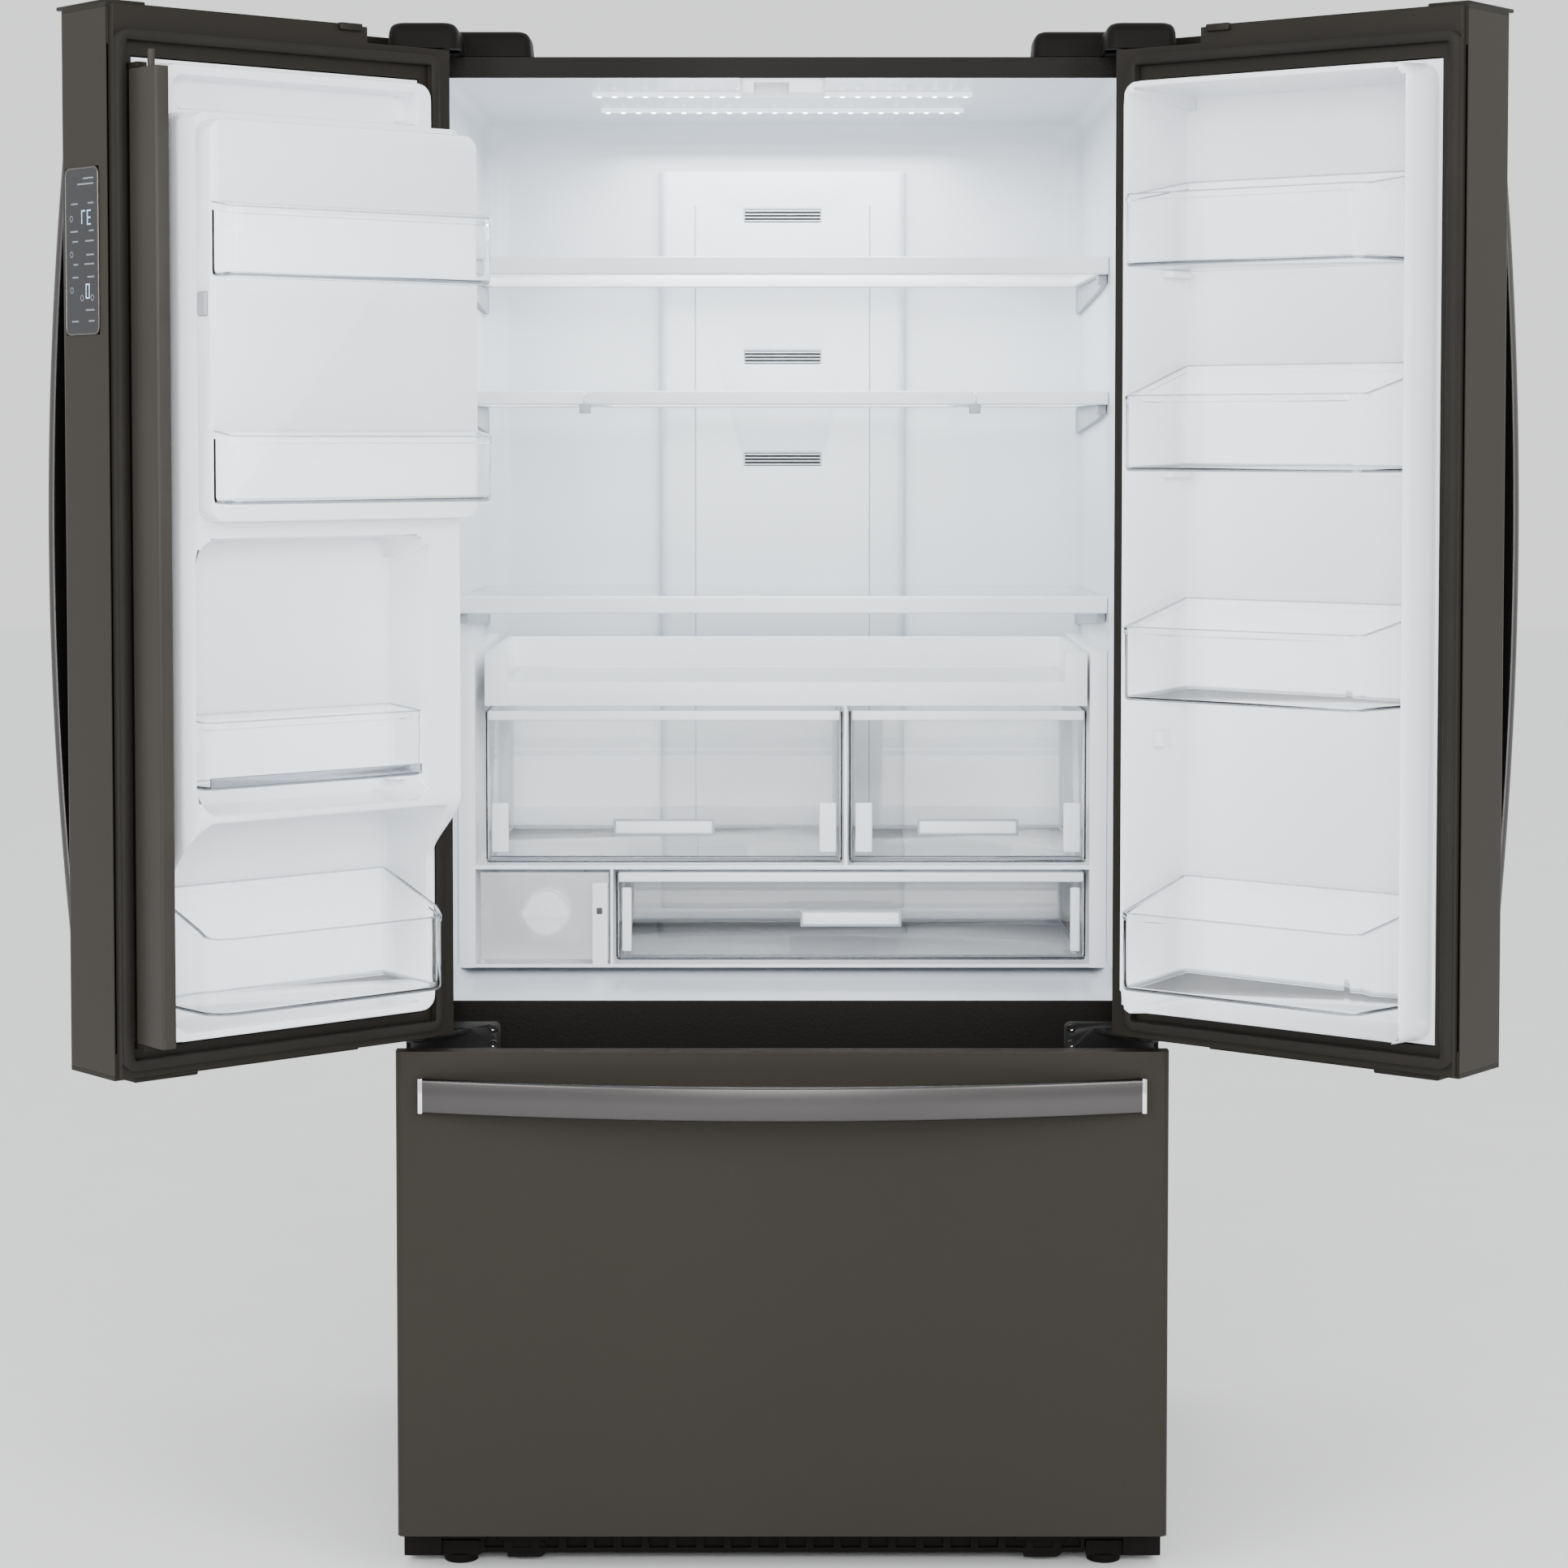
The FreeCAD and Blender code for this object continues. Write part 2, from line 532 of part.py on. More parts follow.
def hinge_screws():
    screws = []
    for sx, sy in TOP_SCREWS:
        head = rod(sx, sy, CABINET_TOP + BRACKET, SCREW_HEAD, 3)
        shank = rod(sx, sy, CABINET_TOP, SCREW_SHANK, BRACKET)
        socket = rod(sx, sy, CABINET_TOP + BRACKET + 1.5, 2, 2)
        screws.append(head.fuse(shank).cut(socket))
    for z in CENTRE_SCREWS_Z:
        front = FLANGE_Y - 4
        head = rod(-CENTRE_SCREW_X, front - 3, z, SCREW_HEAD, 3, Y_AXIS)
        shank = rod(-CENTRE_SCREW_X, front, z, SCREW_SHANK, 4, Y_AXIS)
        socket = rod(-CENTRE_SCREW_X, front - 3.5, z, 2, 2, Y_AXIS)
        screws.append(head.fuse(shank).cut(socket))
    save("hinge_screws", *[solid for screw in screws for solid in both_sides(screw)])


# ---- shelves and drawers in the refrigerator
def shelf(x0, x1, level):
    """A frame with a tall front trim, and the glass that lies in it."""
    z0, z1 = level
    seat = z1 - GLASS - 3
    trim = block(x0, x1, SHELF_FRONT, SHELF_FRONT + SHELF_BAR, z0, z1)
    trim = rounded(trim, 3, X_AXIS, lambda m: m.y < SHELF_FRONT + 1)
    bars = [block(x0, x0 + 14, SHELF_FRONT + SHELF_BAR - 1, SHELF_BACK, z0, seat),
            block(x1 - 14, x1, SHELF_FRONT + SHELF_BAR - 1, SHELF_BACK, z0, seat),
            block(x0, x1, SHELF_BACK - 16, SHELF_BACK, z0, seat)]
    glass = block(x0 + 2, x1 - 2, SHELF_FRONT + SHELF_BAR, SHELF_BACK - 1, seat, seat + GLASS)
    return joined(trim, *bars), glass


def shelves():
    end = LINER_X - 0.5
    left, right = MIDDLE_SPLITS
    half_gap = SPLIT_GAP / 2
    made = [shelf(-end, end, TOP_SHELF), shelf(-end, left - half_gap, MIDDLE_SHELF),
            shelf(left + half_gap, right - half_gap, MIDDLE_SHELF), shelf(right + half_gap, end, MIDDLE_SHELF),
            shelf(-end, end, LOWER_SHELF)]
    save("shelf_frames", *[frame for frame, glass in made])
    save("shelf_glasses", *[glass for frame, glass in made])


def crisper_frame():
    end = LINER_X - 0.5
    back = SHELF_FRONT + 385
    row = CRISPER[0] - 2
    sides = block(-end, -end + SIDE_FRAME, SHELF_FRONT, back, SIDE_FRAME_BOTTOM, SIDE_FRAME_TOP)
    row_plate = block(-end + SIDE_FRAME, end - SIDE_FRAME, SHELF_FRONT + 2, back, row - ROW_PLATE, row)
    floor = block(-end + SIDE_FRAME, end - SIDE_FRAME, SHELF_FRONT + 2, back,
                  SIDE_FRAME_BOTTOM, SIDE_FRAME_BOTTOM + 4)
    post = block(CRISPER_SPLIT - 2, CRISPER_SPLIT + 2, SHELF_FRONT + 2, back, row, CRISPER[1] + 2)
    divider = block(FILTER_BAY_RIGHT - 3.5, FILTER_BAY_RIGHT, SHELF_FRONT + 2, back, SIDE_FRAME_BOTTOM + 4, row)
    filter_head = block(FILTER_X - 38, FILTER_X + 38, FILTER_BACK + 1, FILTER_BACK + 60,
                        SIDE_FRAME_BOTTOM + 4, row)
    frame = joined(sides, mirrored(sides), row_plate, floor, post, divider, filter_head)
    frame = frame.cut(rod(FILTER_X, FILTER_BACK, FILTER_Z, 14 + PIN_PLAY, 30, Y_AXIS))
    frame = frame.cut(rod(COVER_PIVOT_X, COVER_PIVOT_Y, SIDE_FRAME_BOTTOM - 1, 2 + PIN_PLAY, 12))
    save("crisper_frame", frame)


FILTER_X = -297.0
FILTER_Z = 740.0
FILTER_BACK = 10.0
COVER_PIVOT_X = -373.5
COVER_PIVOT_Y = SHELF_FRONT + 5.0


def water_filter():
    y0 = SHELF_FRONT + 28
    can = rod(FILTER_X, y0 + 22, FILTER_Z, 30, FILTER_BACK - y0 - 22, Y_AXIS)
    neck = rod(FILTER_X, FILTER_BACK - 1, FILTER_Z, 14, 26, Y_AXIS)
    knob = rod(FILTER_X, y0 + 6, FILTER_Z, 34, 20, Y_AXIS)
    wing = block(FILTER_X - 30, FILTER_X + 30, y0 - 4, y0 + 8, FILTER_Z - 6, FILTER_Z + 6)
    save("water_filter", joined(can, neck, knob, wing))


def filter_cover():
    x1 = FILTER_BAY_RIGHT - 5.5
    y0 = COVER_PIVOT_Y - 3
    door = block(COVER_PIVOT_X - 3, x1, y0, y0 + 6, DELI[0] + 2, DELI[1])
    door = rounded(door, 2.5, Z_AXIS, lambda m: m.x < COVER_PIVOT_X)
    hollow = block(COVER_PIVOT_X + 8, x1 - 3, y0 + 2.5, y0 + 7, DELI[0] + 5, DELI[1] - 3)
    pin = rod(COVER_PIVOT_X, COVER_PIVOT_Y, SIDE_FRAME_BOTTOM + 1, 2, 12)
    save("filter_cover", joined(door.cut(hollow), pin))


def crisper(x0, x1, level, band=11.0):
    bin_back = SHELF_FRONT + 370
    bin_shape = open_tray(x0, x1, SHELF_FRONT + 3, bin_back, level[0], level[1], BIN_WALL, 9)
    folded_top = block(x0 + 8, x1 - 8, SHELF_FRONT + 3, SHELF_FRONT + 13, level[1] - band, level[1])
    return joined(bin_shape, folded_top)


def crispers():
    save("left_crisper", crisper(BASKET_LEFT, CRISPER_SPLIT - 2 - RUN_CLEAR * 2, CRISPER))
    save("right_crisper", crisper(CRISPER_SPLIT + 2 + RUN_CLEAR * 2, BASKET_RIGHT, CRISPER))
    save("deli_drawer", crisper(FILTER_BAY_RIGHT + 3, BASKET_RIGHT, DELI, 20.0))


def pullout_tray():
    back = SHELF_FRONT + 372
    y0 = SHELF_FRONT
    posts = [block(BASKET_LEFT, BASKET_LEFT + TRAY_POST, y0, y0 + 26, TRAY_BOTTOM, TRAY_TOP),
             block(BASKET_RIGHT - TRAY_POST, BASKET_RIGHT, y0, y0 + 26, TRAY_BOTTOM, TRAY_TOP)]
    walls = [block(BASKET_LEFT, BASKET_LEFT + 9, y0 + 20, back, TRAY_BOTTOM, TRAY_TOP),
             block(BASKET_RIGHT - 9, BASKET_RIGHT, y0 + 20, back, TRAY_BOTTOM, TRAY_TOP)]
    front = block(BASKET_LEFT + 5, BASKET_RIGHT - 5, y0 + 2, y0 + 14, TRAY_BOTTOM, TRAY_DECK)
    rear = block(BASKET_LEFT + 5, BASKET_RIGHT - 5, back - 12, back, TRAY_BOTTOM, TRAY_TOP)
    ledges = [block(BASKET_LEFT + 8, BASKET_LEFT + 22, y0 + 13, back - 10, TRAY_BOTTOM, TRAY_DECK - GLASS - 3),
              block(BASKET_RIGHT - 22, BASKET_RIGHT - 8, y0 + 13, back - 10, TRAY_BOTTOM,
                    TRAY_DECK - GLASS - 3)]
    save("pullout_tray", joined(posts[0], posts[1], front, rear, *walls, *ledges))
    deck = block(BASKET_LEFT + 9.5, BASKET_RIGHT - 9.5, y0 + 26.5, back - 12.5,
                 TRAY_DECK - GLASS - 3, TRAY_DECK - 3)
    save("pullout_tray_glass", deck)


# ---- doors, drawn shut on the left side; u runs from the hinge side, v from the trim towards the inside
FREE_X = -DOOR_GAP / 2
NICHE_X = (-341.0, -111.0)
NICHE_Z = (935.0, 1235.0)
NICHE_BACK = SKIN_BACK_Y - 8.0
PANEL_Y = (FRONT_Y + 12.0, FRONT_Y + 83.0)
PANEL_Z = (1448.0, 1630.0)
PANEL_GLASS = 2.3
TRIM_OPENING_U = (46.0, DOOR_WIDTH - 25.0)
TRIM_OPENING_Z = (668.0, DOOR_TOP - 57.0)


def at_u(u):
    return -HALF + u


def at_v(v):
    return TRIM_Y + v


def door_recess():
    """Room in the top of a door for the hinge bracket and its cover."""
    return block(-HALF - 5, at_u(RECESS_LENGTH), FRONT_Y + RECESS_LIP, TRIM_Y + 5, RECESS_FLOOR, DOOR_TOP + 5)


def door_skin():
    outer = block(-HALF, FREE_X, FRONT_Y, SKIN_BACK_Y, DOOR_BOTTOM + CAP_PLATE, DOOR_TOP - CAP_PLATE)
    outer = rounded(outer, DOOR_CORNER, Z_AXIS, lambda m: m.y < FRONT_Y + 1)
    inside = block(-HALF + DOOR_SHEET, FREE_X - DOOR_SHEET, FRONT_Y + DOOR_SHEET, SKIN_BACK_Y + 1,
                   DOOR_BOTTOM, DOOR_TOP)
    inside = rounded(inside, DOOR_CORNER - DOOR_SHEET, Z_AXIS, lambda m: m.y < FRONT_Y + 5)
    return outer.cut(inside).cut(door_recess())


def door_trim():
    """The moulded inner frame with the end caps that hold the hinge bushes."""
    wall = DOOR_SHEET + 0.1
    full = block(at_u(3), FREE_X - 3, SKIN_BACK_Y, TRIM_Y, DOOR_BOTTOM + 3, DOOR_TOP - 3)
    opening = block(at_u(TRIM_OPENING_U[0]), at_u(TRIM_OPENING_U[1]), SKIN_BACK_Y - 1, TRIM_Y + 1,
                    *TRIM_OPENING_Z)
    trim = full.cut(opening)
    caps = []
    for plate_z, plug_z in (((DOOR_TOP - CAP_PLATE, DOOR_TOP), (RECESS_FLOOR - 24, DOOR_TOP - CAP_PLATE)),
                            ((DOOR_BOTTOM, DOOR_BOTTOM + CAP_PLATE), (DOOR_BOTTOM + CAP_PLATE, DOOR_BOTTOM + 30))):
        plate = block(-HALF, FREE_X, FRONT_Y, SKIN_BACK_Y, *plate_z)
        caps.append(rounded(plate, DOOR_CORNER, Z_AXIS, lambda m: m.y < FRONT_Y + 1))
        plug = block(-HALF + wall, FREE_X - wall, FRONT_Y + wall, SKIN_BACK_Y, *plug_z)
        caps.append(rounded(plug, DOOR_CORNER - wall, Z_AXIS, lambda m: m.y < FRONT_Y + 5))
    trim = joined(trim, *caps).cut(door_recess())
    trim = trim.cut(rod(-PIVOT_X, PIVOT_Y, RECESS_FLOOR - 21, HINGE_PIN / 2 + PIN_PLAY, 22))
    return trim.cut(rod(-PIVOT_X, PIVOT_Y, DOOR_BOTTOM - 1, LOWER_PIN / 2 + PIN_PLAY, 26))


def flap_arms():
    """Two lugs on the left door's trim with the pins that the centre flap turns on."""
    arms = []
    for arm_z, pin_z in (((FLAP_TOP + 1, FLAP_TOP + 7), FLAP_TOP - 12), ((FLAP_BOTTOM - 7, FLAP_BOTTOM - 1),
                                                                       FLAP_BOTTOM - 5)):
        arm = block(FLAP_PIVOT_X - 6, FLAP_PIVOT_X + 6, TRIM_Y - 1, FLAP_PIVOT_Y + 6, *arm_z)
        arms.append(arm.fuse(rod(FLAP_PIVOT_X, FLAP_PIVOT_Y, pin_z, FLAP_PIN / 2, 17)))
    return arms


FLAP_PIVOT_Y = FLANGE_Y + FLAP_THICKNESS / 2


def mullion_flap():
    """Drawn across the gap between the doors, then folded back against the left door's liner."""
    half = FLAP_THICKNESS / 2
    x0 = FLAP_PIVOT_X - half
    bar = block(x0, x0 + FLAP_WIDTH, FLAP_PIVOT_Y - half + 0.5, FLAP_PIVOT_Y + half, FLAP_BOTTOM, FLAP_TOP)
    bar = rounded(bar, 3, Z_AXIS)
    tab = rod(FLAP_PIVOT_X + 25, FLAP_PIVOT_Y, FLAP_TOP - 1, 4, 20)
    bar = joined(bar, tab)
    for z in (FLAP_TOP - 13, FLAP_BOTTOM - 1):
        bar = bar.cut(rod(FLAP_PIVOT_X, FLAP_PIVOT_Y, z, FLAP_PIN / 2 + PIN_PLAY, 14))
    bar.rotate(V(FLAP_PIVOT_X, FLAP_PIVOT_Y, 0), Z_AXIS, 90)
    save("mullion_flap", open_left(bar))


def door_gasket():
    x0, x1 = at_u(24), FREE_X - 2
    z0, z1 = DOOR_BOTTOM + 12, LINER_TOP + 14
    return ring(x0, x1, TRIM_Y, TRIM_Y + GASKET, z0, z1, GASKET_WIDTH)


def bowed_band(length, bow, width):
    """A bowed flat bar along X at its ends' height, standing off a face at y = 0 towards -Y."""
    half = length / 2
    band = HANDLE_BAND

    def bow_edge(standoff, end_y):
        return Part.Arc(V(-half, end_y, 0), V(0, standoff, 0), V(half, end_y, 0)).toShape()

    outer = bow_edge(-bow, -band)
    inner = bow_edge(-bow + band, 0)
    ends = [Part.makeLine(V(side * half, -band, 0), V(side * half, 0, 0)) for side in (-1, 1)]
    face = Part.Face(Part.Wire(Part.__sortEdges__([outer, inner, *ends])))
    bar = face.extrude(V(0, 0, width))
    posts = [block(side * (half - HANDLE_END / 2) - HANDLE_END / 2, side * (half - HANDLE_END / 2) + HANDLE_END / 2,
                   -band - 1, 0, 0, width) for side in (-1, 1)]
    return joined(bar, *posts)


def door_handle():
    length = DOOR_HANDLE_TOP - DOOR_HANDLE_BOTTOM
    bar = bowed_band(length, DOOR_HANDLE_BOW, HANDLE_WIDTH)
    bar.rotate(V(0, 0, 0), Y_AXIS, 90)
    x0 = FREE_X - DOOR_HANDLE_INSET - HANDLE_WIDTH
    bar.translate(V(x0, FRONT_Y, (DOOR_HANDLE_TOP + DOOR_HANDLE_BOTTOM) / 2))
    return bar


def dyke(v0, v1, z0, z1):
    """A raised pad of the door liner with drafted sides."""
    return tapered(at_u(DYKE_INSET), at_u(DYKE_FREE_U), at_v(v0), at_v(v1), z0, z1, DYKE_DRAFT)


DYKE_FREE_U = DOOR_WIDTH - 38.0
RIGHT_DYKE_FREE_U = DOOR_WIDTH - 31.0
RIGHT_DYKE_DEPTH = 62.0
RIGHT_DYKE_DRAFT = 4.0
LINER_BASE_V = (-12.0, -2.0)
DYKE_Z = (672.0, DOOR_TOP - 62.0)
ICE_V = 98.0
ICE_U = (55.0, DOOR_WIDTH - 41.0)
ICE_Z = (1240.0, 1684.0)
ICE_DOOR_V = (98.5, 127.0)
ICE_DOOR_U = (56.0, DOOR_WIDTH - 44.0)
ICE_DOOR_Z = (1246.0, 1674.0)
ICE_LATCH_Z = (1465.0, 1491.0)
ICE_BINS = ((1506.0, 1586.0), (1265.0, 1344.0))
ICE_PIVOT_U = 59.5
ICE_PIVOT_V = 112.5
BULGE_V = 97.0
MID_BAY_U = (110.0, DOOR_WIDTH - 51.0)
MID_BAY_Z = (934.0, 1222.0)
MID_BIN_U = (112.0, DOOR_WIDTH - 53.0)
MID_BIN_Z = (956.0, 1034.0)
LOW_BAY_U = (72.0, DOOR_WIDTH - 51.0)
LOW_BAY_Z = (690.0, 915.0)
LOW_BAY_V = -36.0
LOW_BIN_U = (78.0, DOOR_WIDTH - 57.0)
LOW_BIN_Z = (710.0, 795.0, 838.0)
RIGHT_BAY_U = (64.0, DOOR_WIDTH - 41.0)
RIGHT_BAY_Z = (678.0, DOOR_TOP - 76.0)
RIGHT_BAY_V = -58.0
RIGHT_BIN_BACK_U = (66.0, DOOR_WIDTH - 45.0)
RIGHT_BIN_FRONT_U = (74.0, DOOR_WIDTH - 71.0)
RIGHT_BINS = ((1528.0, 1610.0, 1632.0), (1298.0, 1384.0, 1420.0), (1039.0, 1123.0, 1150.0),
              (708.0, 798.0, 825.0))
SPARE_LUG_Z = 992.0


def liner_base(u0, u1):
    return block(at_u(u0), at_u(u1), at_v(LINER_BASE_V[0]), at_v(LINER_BASE_V[1]) + 1,
                 TRIM_OPENING_Z[0] + 1, TRIM_OPENING_Z[1] - 1)


def left_door_liner():
    base = liner_base(TRIM_OPENING_U[0] + 1, TRIM_OPENING_U[1] - 1)
    low = dyke(LINER_BASE_V[1], DYKE_DEPTH, *DYKE_Z)
    bulge = side_profile([(at_v(-2), 846), (at_v(DYKE_DEPTH), 858), (at_v(80), 888), (at_v(BULGE_V), 930),
                          (at_v(BULGE_V), ICE_Z[0] + 5), (at_v(-2), ICE_Z[0] + 5)], at_u(ICE_U[0]), at_u(ICE_U[1]))
    housing = block(at_u(ICE_U[0]), at_u(ICE_U[1]), at_v(-2), at_v(ICE_V), *ICE_Z)
    housing = rounded(housing, 10, Y_AXIS, lambda m: m.z > ICE_Z[1] - 1)
    shape = joined(base, low, bulge, housing, bay_tub(*LOW_BAY_U, LOW_BAY_V, *LOW_BAY_Z))
    low_bay = bay(*LOW_BAY_U, LOW_BAY_V, BULGE_V + 5, *LOW_BAY_Z)
    mid_bay = bay(*MID_BAY_U, 28, BULGE_V + 5, *MID_BAY_Z)
    top_bay = bay(76, DOOR_WIDTH - 59, 14, BULGE_V + 5, ICE_Z[1] + 6, DOOR_TOP - 81, 12)
    cavity = block(at_u(ICE_U[0] + 8), at_u(ICE_U[1] - 9), at_v(3), at_v(ICE_V) + 5, ICE_Z[0] + 12, ICE_Z[1] - 16)
    shape = shape.cut(low_bay).cut(mid_bay).cut(top_bay).cut(cavity)
    lugs = bin_lugs(*LOW_BAY_U, 16, LOW_BAY_V - 1, 20, LOW_BIN_Z[0])
    lugs += bin_lugs(*MID_BAY_U, 12, 27, 58, MID_BIN_Z[0])
    ears = []
    for ear_z, pin_z in (((ICE_DOOR_Z[1] + 1, ICE_DOOR_Z[1] + 7), ICE_DOOR_Z[1] - 10),
                         ((ICE_DOOR_Z[0] - 7, ICE_DOOR_Z[0] - 1), ICE_DOOR_Z[0] - 6)):
        ear = block(at_u(55), at_u(64), at_v(ICE_V) - 2, at_v(ICE_PIVOT_V) + 5, *ear_z)
        ears.append(ear.fuse(rod(at_u(ICE_PIVOT_U), at_v(ICE_PIVOT_V), pin_z, 2.5, 16)))
    save("left_door_liner", open_left(joined(shape, *ears, *lugs)))


def bay(u0, u1, v0, v1, z0, z1, radius=14):
    """The room cut into a liner, with rounded corners seen from inside the refrigerator."""
    return rounded(block(at_u(u0), at_u(u1), at_v(v0), at_v(v1), z0, z1), radius, Y_AXIS)


def bay_tub(u0, u1, v0, z0, z1):
    """The back of a deep bay, which reaches into the door behind its trim."""
    wall = LINER_WALL
    tub = block(at_u(u0 - wall), at_u(u1 + wall), at_v(v0 - wall), at_v(LINER_BASE_V[1]), z0 - wall, z1 + wall)
    return rounded(tub, 14 + wall, Y_AXIS)


def bin_lugs(u0, u1, reach, v0, v1, z):
    """Two ledges that a bin's floor rests on, one on each wall of its bay."""
    return [block(at_u(u0) - 1, at_u(u0) + reach, at_v(v0), at_v(v1), z - 8, z),
            block(at_u(u1) - reach, at_u(u1) + 1, at_v(v0), at_v(v1), z - 8, z)]


def door_bin(back_u, front_u, v0, v1, heights, radius):
    """An open bin whose sides close in and step down from its back to its front."""
    z0, z_front, z_back = heights

    def plan(inset, bottom, top):
        corners = [(at_u(back_u[0] + inset), at_v(v0 + inset)), (at_u(back_u[1] - inset), at_v(v0 + inset)),
                   (at_u(front_u[1] - inset), at_v(v1 - inset)), (at_u(front_u[0] + inset), at_v(v1 - inset))]
        return rounded(prism(corners, bottom, top), radius - inset, Z_AXIS, lambda m: m.y > at_v(v1 - 10))

    tray = plan(0, z0, z_back).cut(plan(BIN_WALL, z0 + BIN_WALL, z_back + 1))
    middle = (v0 + v1) / 2
    above = side_profile([(at_v(v1) + 1, z_front), (at_v(v1 - 10), z_front), (at_v(middle), z_back),
                          (at_v(middle), z_back + 2), (at_v(v1) + 1, z_back + 2)], -HALF - 5, 0)
    return tray.cut(above)


def ice_door_parts():
    panel = block(at_u(ICE_DOOR_U[0]), at_u(ICE_DOOR_U[1]), at_v(ICE_DOOR_V[0]), at_v(ICE_DOOR_V[1]), *ICE_DOOR_Z)
    panel = rounded(panel, 5, Z_AXIS)
    pocket = block(at_u(ICE_DOOR_U[1] - 9.4), at_u(ICE_DOOR_U[1]) + 1, at_v(104), at_v(122), *ICE_LATCH_Z)
    panel = panel.cut(pocket)
    for z in (ICE_DOOR_Z[1] - 11, ICE_DOOR_Z[0] - 1):
        panel = panel.cut(rod(at_u(ICE_PIVOT_U), at_v(ICE_PIVOT_V), z, 2.5 + PIN_PLAY, 12))
    save("ice_door", open_left(panel))
    bins = [open_tray(at_u(ICE_DOOR_U[0] + 4), at_u(ICE_DOOR_U[1] - 1), at_v(ICE_DOOR_V[1]), at_v(168), z0, z1, BIN_WALL, 10)
            for z0, z1 in ICE_BINS]
    save("ice_door_bins", *[open_left(tray) for tray in bins])
    latch = block(at_u(ICE_DOOR_U[1] - 5), at_u(ICE_DOOR_U[1] + 3.5), at_v(104.5), at_v(121.5), ICE_LATCH_Z[0] + 0.5, ICE_LATCH_Z[1] - 0.5)
    latch = rounded(latch, 2, Z_AXIS)
    save("ice_door_latch", open_left(latch))
    bucket = open_tray(at_u(ICE_U[0] + 15), at_u(ICE_U[1] - 18), at_v(5), at_v(92), ICE_Z[0] + 14, 1470, BIN_WALL, 12)
    maker = block(at_u(ICE_U[0] + 35), at_u(ICE_U[1] - 38), at_v(8), at_v(70), 1530, 1620)
    rake = rod(at_u(100), at_v(80), 1560, 5, 250, X_AXIS)
    stem = block(at_u(200), at_u(230), at_v(60), at_v(82), 1555, 1575)
    save("ice_bucket", open_left(bucket), open_left(joined(maker, rake, stem)))


def left_door():
    niche_hole = block(NICHE_X[0], NICHE_X[1], FRONT_Y - 1, FRONT_Y + 5, *NICHE_Z)
    panel_hole = block(FREE_X - 5, FREE_X + 1, PANEL_Y[0] - 0.2, PANEL_Y[1] + 0.2, PANEL_Z[0] - 0.2, PANEL_Z[1] + 0.2)
    save("left_door_skin", open_left(door_skin().cut(niche_hole).cut(panel_hole)))
    save("left_door_trim", open_left(joined(door_trim(), *flap_arms())))
    save("left_door_gasket", open_left(door_gasket()))
    save("left_door_handle", open_left(door_handle()))
    panel = block(FREE_X - DOOR_SHEET, FREE_X - DOOR_SHEET + PANEL_GLASS, *PANEL_Y, *PANEL_Z)
    save("control_panel", open_left(rounded(panel, 9, X_AXIS)))
    mid_bin = open_tray(at_u(MID_BIN_U[0]), at_u(MID_BIN_U[1]), at_v(28.5), at_v(100), *MID_BIN_Z, BIN_WALL, 14)
    low_bin = door_bin(LOW_BIN_U, LOW_BIN_U, LOW_BAY_V + 1, 102, LOW_BIN_Z, 30)
    save("left_door_bins", open_left(mid_bin), open_left(low_bin))


def dispenser_parts():
    x0, x1 = NICHE_X
    z0, z1 = NICHE_Z
    bezel = block(x0 - 8, x1 + 8, FRONT_Y - 3, FRONT_Y, z0 - 8, z1 + 8)
    bezel = rounded(bezel, 10, Y_AXIS)
    tub = block(x0 + 0.5, x1 - 0.5, FRONT_Y - 1, NICHE_BACK, z0 + 0.5, z1 - 0.5)
    hollow = block(x0 + 4, x1 - 4, FRONT_Y - 4, NICHE_BACK - 3, z0 + 4, z1 - 4)
    hollow = rounded(hollow, 8, Y_AXIS)
    middle = (x0 + x1) / 2
    pivot_y, pivot_z = PADDLE_PIVOT
    nozzle = block(middle - 28, middle + 28, FRONT_Y + 26, FRONT_Y + 50, z1 - 30, z1 - 3)
    lugs = [block(middle + side * 34 - 4, middle + side * 34 + 4, pivot_y - 6, pivot_y + 6, pivot_z - 6, z1 - 3)
            for side in (-1, 1)]
    housing = joined(bezel, tub).cut(hollow)
    housing = joined(housing, nozzle, *lugs)
    housing = housing.cut(rod(middle - 45, pivot_y, pivot_z, 2.5 + PIN_PLAY, 90, X_AXIS))
    drip = block(x0 + 14, x1 - 14, FRONT_Y + 6, NICHE_BACK - 12, z0 + 4.2, z0 + 16)
    for i in range(11):
        x = x0 + 26 + i * (x1 - x0 - 52) / 10
        drip = drip.cut(block(x - 4, x + 4, FRONT_Y + 14, NICHE_BACK - 20, z0 + 8, z0 + 17))
    save("dispenser_housing", open_left(housing), open_left(drip))
    plate = block(middle - 25, middle + 25, pivot_y - 2, pivot_y + 2, z0 + 95, pivot_z + 2)
    plate = rounded(plate, 14, Y_AXIS, lambda m: m.z < z0 + 100)
    shaft = rod(middle - 38, pivot_y, pivot_z, 2.5, 76, X_AXIS)
    save("dispenser_paddle", open_left(joined(plate, shaft)))


PADDLE_PIVOT = (FRONT_Y + 62.0, 1190.0)


